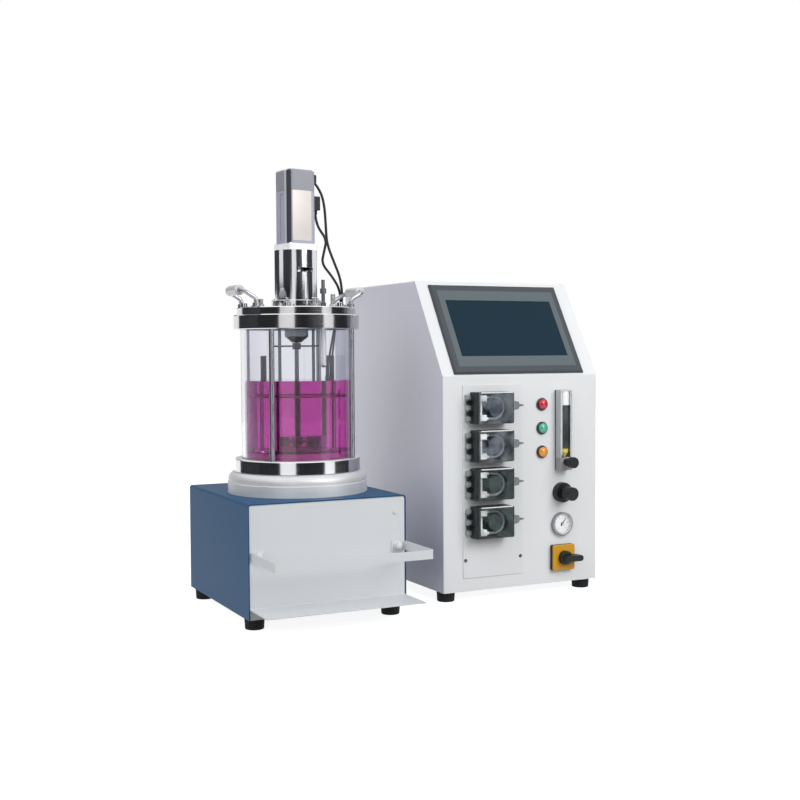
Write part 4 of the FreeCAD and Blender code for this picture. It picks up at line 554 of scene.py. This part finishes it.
encoderCordFacts = {
    "length": 1.234,
    "diameter": 0.005,
    "points": [
        (-187.0, -49.0, 805.0), (-173.0, -45.7, 791.0), (-165.5, -45.0, 762.0), (-161.5, -40.5, 726.0),
        (-155.5, -30.5, 694.0), (-135.5, -16.5, 661.0), (-115.5, -4.5, 628.0), (-107.5, 6.5, 586),
        (-108.5, 25.5, 529), (-112.5, 37.5, 471), (-114.5, 48.5, 411), (-115.5, 60.5, 351),
        (-114.5, 75.5, 294), (-113.5, 100.5, 252), (-113.5, 130.5, 239), (-112.5, 158.5, 228),
        (-111.5, 170.5, 199), (-109.5, 172.5, 158), (-107.5, 172.5, 104), (-104.5, 173.5, 56),
        (-98.5, 176.5, 24), (-81.5, 187.5, 5), (-48.5, 208.5, 3), (-14.5, 236.5, 3),
        (0.5, 275.5, 3), (19.5, 318.5, 3), (47.5, 346.5, 3), (82.5, 358.5, 6),
        (100.0, 372.0, 21.5), (111.5, 372.0, 41.0), (118.0, 360.0, 58.5), (119.5, 341.5, 66),
        (119.5, 328.5, 66),
    ],
}


def freeCord(name, facts, node):
    curve = bpy.data.curves.new(name, "CURVE")
    curve.dimensions = "3D"
    curve.bevel_depth = facts["diameter"] / 2
    curve.bevel_resolution = 4
    curve.resolution_u = 6
    curve.use_fill_caps = True
    spline = curve.splines.new("NURBS")
    spline.points.add(len(facts["points"]) - 1)
    for point, spot in zip(spline.points, facts["points"]):
        point.co = (*[value / 1000 for value in spot], 1)
    spline.order_u = 3
    spline.use_endpoint_u = True
    curve.materials.append(plastics["cable"])
    cord = newObject(name, curve)
    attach(cord, "frame")
    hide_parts(node)


freeCord("motorCord", motorCordFacts, "motor_cable")
freeCord("encoderCord", encoderCordFacts, "encoder_cable")
print("cables laid")


# ---- helpers for the added pieces ----
def placeOf(spot, aim=(0, 0, 1), turn=0.0):
    # local Z looks along aim; turn is in degrees about it
    look = Vector(aim).normalized().to_track_quat("Z", "Y").to_matrix().to_4x4()
    return Matrix.Translation(spot) @ look @ Matrix.Rotation(math.radians(turn), 4, "Z")


def addPiece(name, built, place, material, body, smoothAngle=32):
    bmesh.ops.remove_doubles(built, verts=built.verts, dist=1e-6)
    bmesh.ops.recalc_face_normals(built, faces=built.faces)
    built.transform(place)
    mesh = meshOf(name, built)
    for face in mesh.polygons:
        face.use_smooth = True
    mesh.set_sharp_from_angle(angle=math.radians(smoothAngle))
    mesh.materials.append(material)
    piece = newObject(name, mesh)
    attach(piece, body)


def joinForm(built, other):
    mesh = meshOf("joined", other)
    built.from_mesh(mesh)
    bpy.data.meshes.remove(mesh)


def turnedForm(profile, steps=48):
    # radius and height pairs spun about local Z; a closed profile makes a ring
    built = bmesh.new()
    corners = [built.verts.new((radius, 0, height)) for radius, height in profile]
    edges = [built.edges.new(pair) for pair in zip(corners, corners[1:])]
    if profile[0][0] > 0:
        edges.append(built.edges.new((corners[-1], corners[0])))
    bmesh.ops.spin(built, geom=corners + edges, cent=(0, 0, 0), axis=(0, 0, 1), steps=steps,
                   angle=math.tau, use_merge=True)
    return built


def plateForm(width, height, thick, bevel=0.0, corner=0.0):
    # a slab centred on its local Z axis, standing on z = 0
    built = bmesh.new()
    bmesh.ops.create_cube(built, size=1.0)
    bmesh.ops.scale(built, vec=(width, height, thick), verts=built.verts)
    bmesh.ops.translate(built, vec=(0, 0, thick / 2), verts=built.verts)
    if corner:
        posts = [edge for edge in built.edges if abs(edge.verts[0].co.z - edge.verts[1].co.z) > thick / 2]
        bmesh.ops.bevel(built, geom=posts, offset=corner, segments=4, profile=0.5, affect="EDGES", material=-1)
    if bevel:
        rim = [edge for edge in built.edges if min(vert.co.z for vert in edge.verts) > thick - 1e-6]
        bmesh.ops.bevel(built, geom=rim, offset=bevel, segments=2, profile=0.5, affect="EDGES", material=-1)
    return built


def screwForm(look):
    # pan head with a cross recess
    radius, rise = look["radius"], look["rise"]
    built = turnedForm([(0, rise), (radius * 0.5, rise * 0.94), (radius * 0.85, rise * 0.66),
                        (radius, rise * 0.2), (radius, 0), (0, 0)], 24)
    for turn in (0, 90):
        slit = plateForm(radius * 1.2, radius * 0.26, 0.0002)
        slit.transform(Matrix.Rotation(math.radians(turn), 4, "Z") @ Matrix.Translation((0, 0, rise * 0.92)))
        joinForm(built, slit)
    return built


screwTurn = 20  # degrees that each cross recess stands from upright


def addScrew(name, spot, aim, look):
    addPiece(name, screwForm(look), placeOf(spot, aim, screwTurn), look["finish"], "frame")


# ---- station panel screw ----
stationScrew = {"radius": 0.0032, "rise": 0.0014, "finish": paints["panel"], "fromRight": 0.020, "fromTop": 0.029}
panelRight, _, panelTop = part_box("station_front_panel")[1]
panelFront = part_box("station_cover")[0][1]
addScrew("stationScrew", (panelRight - stationScrew["fromRight"], panelFront, panelTop - stationScrew["fromTop"]),
         (0, -1, 0), stationScrew)


# ---- motor: label plate, flange screws ----
labelFacts = {
    "low": motorFlangeTop + 0.0055, "high": motorSeam - 0.0003, "wide": 0.041, "thick": 0.0005, "corner": 0.002,
    "across": -0.0028, "out": 0.0285,
}
motorScrew = {"radius": 0.0028, "rise": 0.0022, "finish": steels["bright"], "out": 0.026}


def motorSpot(across, out, height):
    # a place seen from the motor's axis: across to the right, out to the front
    turn = math.radians(motorTurn)
    right, front = Vector((math.cos(turn), math.sin(turn), 0)), Vector((math.sin(turn), -math.cos(turn), 0))
    return Vector((axisX, axisY, height)) + right * across + front * out


labelForm = plateForm(labelFacts["wide"], labelFacts["high"] - labelFacts["low"], labelFacts["thick"], 0.0002,
                      labelFacts["corner"])
frontWay = motorSpot(0, 1, 0) - motorSpot(0, 0, 0)
labelSpot = motorSpot(labelFacts["across"], labelFacts["out"], (labelFacts["low"] + labelFacts["high"]) / 2)
addPiece("motorLabel", labelForm, placeOf(labelSpot, frontWay), plastics["label"], "frame")
for number, (x, y) in enumerate(((1, 1), (-1, 1), (-1, -1), (1, -1)), 1):
    spot = motorSpot(x * motorScrew["out"], y * motorScrew["out"], motorFlangeTop)
    addScrew("motorScrew_%d" % number, spot, (0, 0, 1), motorScrew)
print("motor dressed")


# ---- pressure gauge: rim, printed dial, lens ----
gaugeFacts = {
    "height": 0.138, "radius": 0.023, "rim": 0.003, "depth": 0.0095, "face": 0.0045, "lens": 0.0086,
    "firstTick": -135, "sweep": 270, "majors": 10, "minorsEach": 5, "tickGap": 0.0016,
    "digit": 0.0036, "digitGap": 0.0078,
}
longTick, shortTick = (0.0032, 0.0006), (0.0018, 0.0003)


def gaugePlace(out):
    return placeOf((meterX, cabinetFront - out, gaugeFacts["height"]), (0, -1, 0))


def gaugeTurn(degrees):
    # clockwise from straight up, as seen from the front
    return Matrix.Rotation(math.radians(-degrees), 4, "Z")


def dialMarks(look):
    built = bmesh.new()
    count = look["majors"] * look["minorsEach"]
    inner = look["radius"] - look["rim"]
    for index in range(count + 1):
        long, wide = shortTick if index % look["minorsEach"] else longTick
        middle = Matrix.Translation((0, inner - look["tickGap"] - long / 2, 0.00005))
        turn = gaugeTurn(look["firstTick"] + look["sweep"] * index / count)
        bmesh.ops.create_grid(built, x_segments=1, y_segments=1, size=0.5,
                              matrix=turn @ middle @ Matrix.Diagonal((wide, long, 1, 1)))
    arcIn, arcOut, thick = inner - 0.0017, inner - 0.0013, 0.0001
    joinForm(built, turnedForm([(arcIn, thick), (arcOut, thick), (arcOut, 0), (arcIn, 0)], 60))
    return built


def dialDigits(look):
    built = bmesh.new()
    reach = look["radius"] - look["rim"] - look["digitGap"]
    for index in range(0, look["majors"] + 1, 2):
        words = bpy.data.curves.new("digit", "FONT")
        words.body = str(index)
        words.size = look["digit"]
        words.align_x, words.align_y = "CENTER", "CENTER"
        holder = bpy.data.objects.new("digit", words)
        mesh = bpy.data.meshes.new_from_object(holder)
        angle = math.radians(look["firstTick"] + look["sweep"] * index / look["majors"])
        mesh.transform(Matrix.Translation((reach * math.sin(angle), reach * math.cos(angle), 0.00008)))
        built.from_mesh(mesh)
        bpy.data.objects.remove(holder)
        bpy.data.meshes.remove(mesh)
    return built


rimIn = gaugeFacts["radius"] - gaugeFacts["rim"]
rimOut = gaugeFacts["radius"] + 0.0004
rimTop = gaugeFacts["depth"] + 0.0008
rimProfile = [
    (rimOut, 0.0005), (rimOut, rimTop - 0.0012), (rimOut - 0.0012, rimTop), (rimIn + 0.0006, rimTop),
    (rimIn - 0.0002, rimTop - 0.0008), (rimIn - 0.0002, rimTop - 0.002), (rimOut - 0.0003, rimTop - 0.002),
    (rimOut - 0.0003, 0.0005),
]
lensProfile = [(0, 0.0011), (rimIn - 0.0004, 0.0009), (rimIn - 0.0004, 0.0), (0, 0.0002)]
addPiece("gaugeRim", turnedForm(rimProfile, 72), gaugePlace(0), steels["rim"], "frame")
facePlace = gaugePlace(gaugeFacts["face"])
addPiece("gaugeMarks", dialMarks(gaugeFacts), facePlace, plastics["ink"], "frame")
addPiece("gaugeDigits", dialDigits(gaugeFacts), facePlace, plastics["ink"], "frame")
addPiece("gaugeLens", turnedForm(lensProfile), gaugePlace(gaugeFacts["lens"]), clears["lens"], "frame")
print("gauge dressed")


# ---- lamps: dark bezel rings ----
lampFacts = {"x": cabinetLeft + 0.2225, "outer": 0.0126, "inner": 0.0097, "rise": 0.0042, "base": 0.0032}
outer, inner, rise, base = (lampFacts[key] for key in ("outer", "inner", "rise", "base"))
ringProfile = [
    (outer, 0.0002), (outer, rise - 0.0012), (outer - 0.001, rise), (inner, rise - 0.0004),
    (inner, base), (outer - 0.0004, base - 0.0001), (outer - 0.0004, 0.0002),
]
for colour in ("red", "green", "amber"):
    lampLow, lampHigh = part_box("lamp_" + colour)
    spot = (lampFacts["x"], cabinetFront, (lampLow[2] + lampHigh[2]) / 2)
    addPiece("lampBezel_" + colour, turnedForm(ringProfile), placeOf(spot, (0, -1, 0)),
             steels["dark"], "frame")


# ---- flow meter: black back scale with white marks, gland nut ----
meterFacts = {
    "slotWide": 0.0184, "back": 0.003, "marks": 20, "marksSpan": 0.86, "markWide": 0.0005, "markInset": 0.0006,
}
nutFacts = {"outer": 0.0078, "lip": 0.007, "bore": 0.00655, "long": 0.016, "out": 0.020, "turn": 12}
meterLow, meterHigh = meterTube[0][2], meterTube[1][2]
scaleHeight = meterHigh - meterLow
scalePlace = placeOf((meterX, cabinetFront - meterFacts["back"], (meterLow + meterHigh) / 2), (0, -1, 0))
addPiece("meterScale", plateForm(meterFacts["slotWide"], scaleHeight, 0.0003), scalePlace,
         plastics["black"], "frame")
markForm = bmesh.new()
for index in range(meterFacts["marks"] + 1):
    reach = 0.0024 if index % 5 else 0.004
    across = reach / 2 + meterFacts["markInset"] - meterFacts["slotWide"] / 2
    height = (index / meterFacts["marks"] - 0.5) * scaleHeight * meterFacts["marksSpan"]
    spot = Matrix.Translation((across, height, 0.00045)) @ Matrix.Diagonal((reach, meterFacts["markWide"], 1, 1))
    bmesh.ops.create_grid(markForm, x_segments=1, y_segments=1, size=0.5, matrix=spot)
addPiece("meterMarks", markForm, scalePlace, plastics["label"], "frame")
knobLow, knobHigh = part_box("flowmeter_knob")
nutEnd = nutFacts["long"] - 0.001
nutForm = turnedForm([(nutFacts["outer"], 0.0002), (nutFacts["outer"], nutEnd - 0.0008), (nutFacts["lip"], nutEnd),
                      (nutFacts["bore"], nutEnd), (nutFacts["bore"], 0.0002)], 6)
nutSpot = (meterX, cabinetFront - nutFacts["out"], (knobLow[2] + knobHigh[2]) / 2)
addPiece("meterGlandNut", nutForm, placeOf(nutSpot, (0, -1, 0), nutFacts["turn"]),
         plastics["black"], "frame", 20)


# ---- pump panel screws ----
panelScrew = {"radius": 0.0036, "rise": 0.0018, "finish": steels["dark"], "height": 0.0345}
pumpPanelLow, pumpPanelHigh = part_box("pump_panel")
for side, x in (("left", pumpPanelLow[0] + 0.005), ("right", pumpPanelHigh[0] - 0.0048)):
    spot = (x, pumpPanelLow[1], pumpPanelLow[2] + panelScrew["height"])
    addScrew("pumpPanelScrew_" + side, spot, (0, -1, 0), panelScrew)
print("fascia dressed")


# ---- mains inlet: three blades in the socket ----
inletFacts = {
    "x": cabinetLeft + 0.300, "z": 0.066, "floor": cabinetBack + 0.0021, "wide": 0.0022, "high": 0.0046, "long": 0.0095,
    "blades": ((-0.007, -0.002), (0, 0.002), (0.007, -0.002)),
}
for number, (across, rise) in enumerate(inletFacts["blades"], 1):
    blade = plateForm(inletFacts["wide"], inletFacts["high"], inletFacts["long"], 0.0004)
    spot = (inletFacts["x"] + across, inletFacts["floor"], inletFacts["z"] + rise)
    addPiece("inletBlade_%d" % number, blade, placeOf(spot, (0, 1, 0)), steels["bright"], "frame")
print("back dressed")


# ---- floor, backdrop and light ----
studio = {
    "floor": (0.36, 0.36, 0.36),
    "floorGlow": 0.90,
    "ambient": 0.22,
    "brightSide": (-0.88, -0.15, 0.45),
    "sideLevel": 1.3,
    "key": 58.0,
    "fill": 8.0,
    "fillTone": (0.95, 0.94, 1.0),
    "top": 8.0,
}


def seenDirectly(tree):
    # 1 for what the camera sees straight, in metal or through glass
    light = addNode(tree, "ShaderNodeLightPath")
    first = addNode(tree, "ShaderNodeMath", operation="MAXIMUM")
    second = addNode(tree, "ShaderNodeMath", operation="MAXIMUM")
    tree.links.new(light.outputs["Is Camera Ray"], first.inputs[0])
    tree.links.new(light.outputs["Is Glossy Ray"], first.inputs[1])
    tree.links.new(first.outputs[0], second.inputs[0])
    tree.links.new(light.outputs["Is Transmission Ray"], second.inputs[1])
    return second.outputs[0]


def layFloor(look):
    built = bmesh.new()
    bmesh.ops.create_grid(built, x_segments=1, y_segments=1, size=6.0)
    mesh = meshOf("studioFloor", built)
    floor = newObject("studioFloor", mesh)
    material, tree, _ = newMaterial("paleFloor")
    tree.nodes.clear()
    matt = addNode(tree, "ShaderNodeBsdfDiffuse")
    setInputs(matt, Color=(*look["floor"], 1))
    glow = addNode(tree, "ShaderNodeEmission")
    strength = addNode(tree, "ShaderNodeMath", operation="MULTIPLY")
    tree.links.new(seenDirectly(tree), strength.inputs[0])
    strength.inputs[1].default_value = look["floorGlow"]
    tree.links.new(strength.outputs[0], glow.inputs["Strength"])
    both = addNode(tree, "ShaderNodeAddShader")
    tree.links.new(matt.outputs[0], both.inputs[0])
    tree.links.new(glow.outputs[0], both.inputs[1])
    out = addNode(tree, "ShaderNodeOutputMaterial")
    tree.links.new(both.outputs[0], out.inputs["Surface"])
    mesh.materials.append(material)


def lightWorld(look):
    world = bpy.data.worlds.new("studioWorld")
    world.use_nodes = True
    tree = world.node_tree
    background = tree.nodes["Background"]
    background.inputs["Color"].default_value = (1, 1, 1, 1)
    side = addNode(tree, "ShaderNodeVectorMath", operation="DOT_PRODUCT")
    tree.links.new(addNode(tree, "ShaderNodeTexCoord").outputs["Generated"], side.inputs[0])
    side.inputs[1].default_value = look["brightSide"]
    sideLight = rangeOf(tree, side.outputs["Value"], look["ambient"], look["sideLevel"], 0.0, 1.0)
    level = addNode(tree, "ShaderNodeMapRange")
    setInputs(level, To_Max=1.0)
    tree.links.new(sideLight, level.inputs["To Min"])
    tree.links.new(seenDirectly(tree), level.inputs["Value"])
    tree.links.new(level.outputs["Result"], background.inputs["Strength"])
    bpy.context.scene.world = world


def softLamp(name, place, target, size, energy, tone=(1, 1, 1)):
    data = bpy.data.lights.new(name, "AREA")
    data.shape = "RECTANGLE"
    data.size, data.size_y = size
    data.energy = energy
    data.color = tone
    lamp = newObject(name, data)
    aim = (Vector(target) - Vector(place)).to_track_quat("-Z", "Y")
    lamp.matrix_world = Matrix.Translation(place) @ aim.to_matrix().to_4x4()


def darkCard(name, look):
    # a curved dark card that the camera can't see, to give bright metal its dark upright bands
    built = bmesh.new()
    reach, start = look["reach"], math.radians(look["from"] + towardsViewer)
    foot = Vector((axisX + reach * math.cos(start), axisY + reach * math.sin(start), look["low"]))
    ends = [built.verts.new(foot), built.verts.new(foot + Vector((0, 0, look["high"] - look["low"])))]
    edge = built.edges.new(ends)
    bmesh.ops.spin(built, geom=ends + [edge], cent=(axisX, axisY, 0), axis=(0, 0, 1), steps=24,
                   angle=math.radians(look["to"] - look["from"]))
    mesh = meshOf(name, built)
    material, _, shader = newMaterial(name)
    tone = look.get("tone", 0.014)
    setInputs(shader, Base_Color=(tone * 0.9, tone, tone * 1.2, 1), Roughness=1.0)
    mesh.materials.append(material)
    card = newObject(name, mesh)
    card.visible_camera = card.visible_diffuse = card.visible_shadow = False
    card.visible_transmission = look.get("through", True)


# degrees round the vessel's axis, left of the viewer negative
towardsViewer = math.degrees(math.atan2(viewer["place"][1] - axisY, viewer["place"][0] - axisX))
lowBand = {"low": -0.1, "high": 0.68, "through": False}
highBand = {"low": 0.68, "high": 1.25, "reach": 1.9, "tone": 0.06}
darkCards = {
    "farLeftLowCard": {**lowBand, "from": -123, "to": -70, "reach": 1.2, "tone": 0.04},
    "leftLowCard": {**lowBand, "from": -70, "to": -30, "reach": 1.2},
    "middleLowCard": {**lowBand, "from": -3, "to": 48, "reach": 1.2},
    "rightLowCard": {**lowBand, "from": 69, "to": 104, "reach": 1.9},
    "farRightLowCard": {**lowBand, "from": 104, "to": 150, "reach": 1.9, "tone": 0.12},
    "farLeftHighCard": {**highBand, "from": -178, "to": -100, "through": False},
    "leftHighCard": {**highBand, "from": -72, "to": -21},
    "middleHighCard": {**highBand, "from": 2, "to": 34, "tone": 0.1},
    "rightHighCard": {**highBand, "from": 60, "to": 100},
}
layFloor(studio)
lightWorld(studio)
softLamp("keyLamp", (0.9, -2.6, 1.7), (0.0, 0.0, 0.35), (1.8, 1.6), studio["key"])
softLamp("fillLamp", (-2.2, -1.5, 2.5), (0.0, 0.0, 0.35), (1.8, 1.8), studio["fill"], studio["fillTone"])
softLamp("topLamp", (0.0, 0.3, 2.6), (0.0, 0.0, 0.3), (2.2, 2.2), studio["top"])
for cardName, cardLook in darkCards.items():
    darkCard(cardName, cardLook)

bpy.context.scene.view_settings.view_transform = "Standard"
print("stage lit")
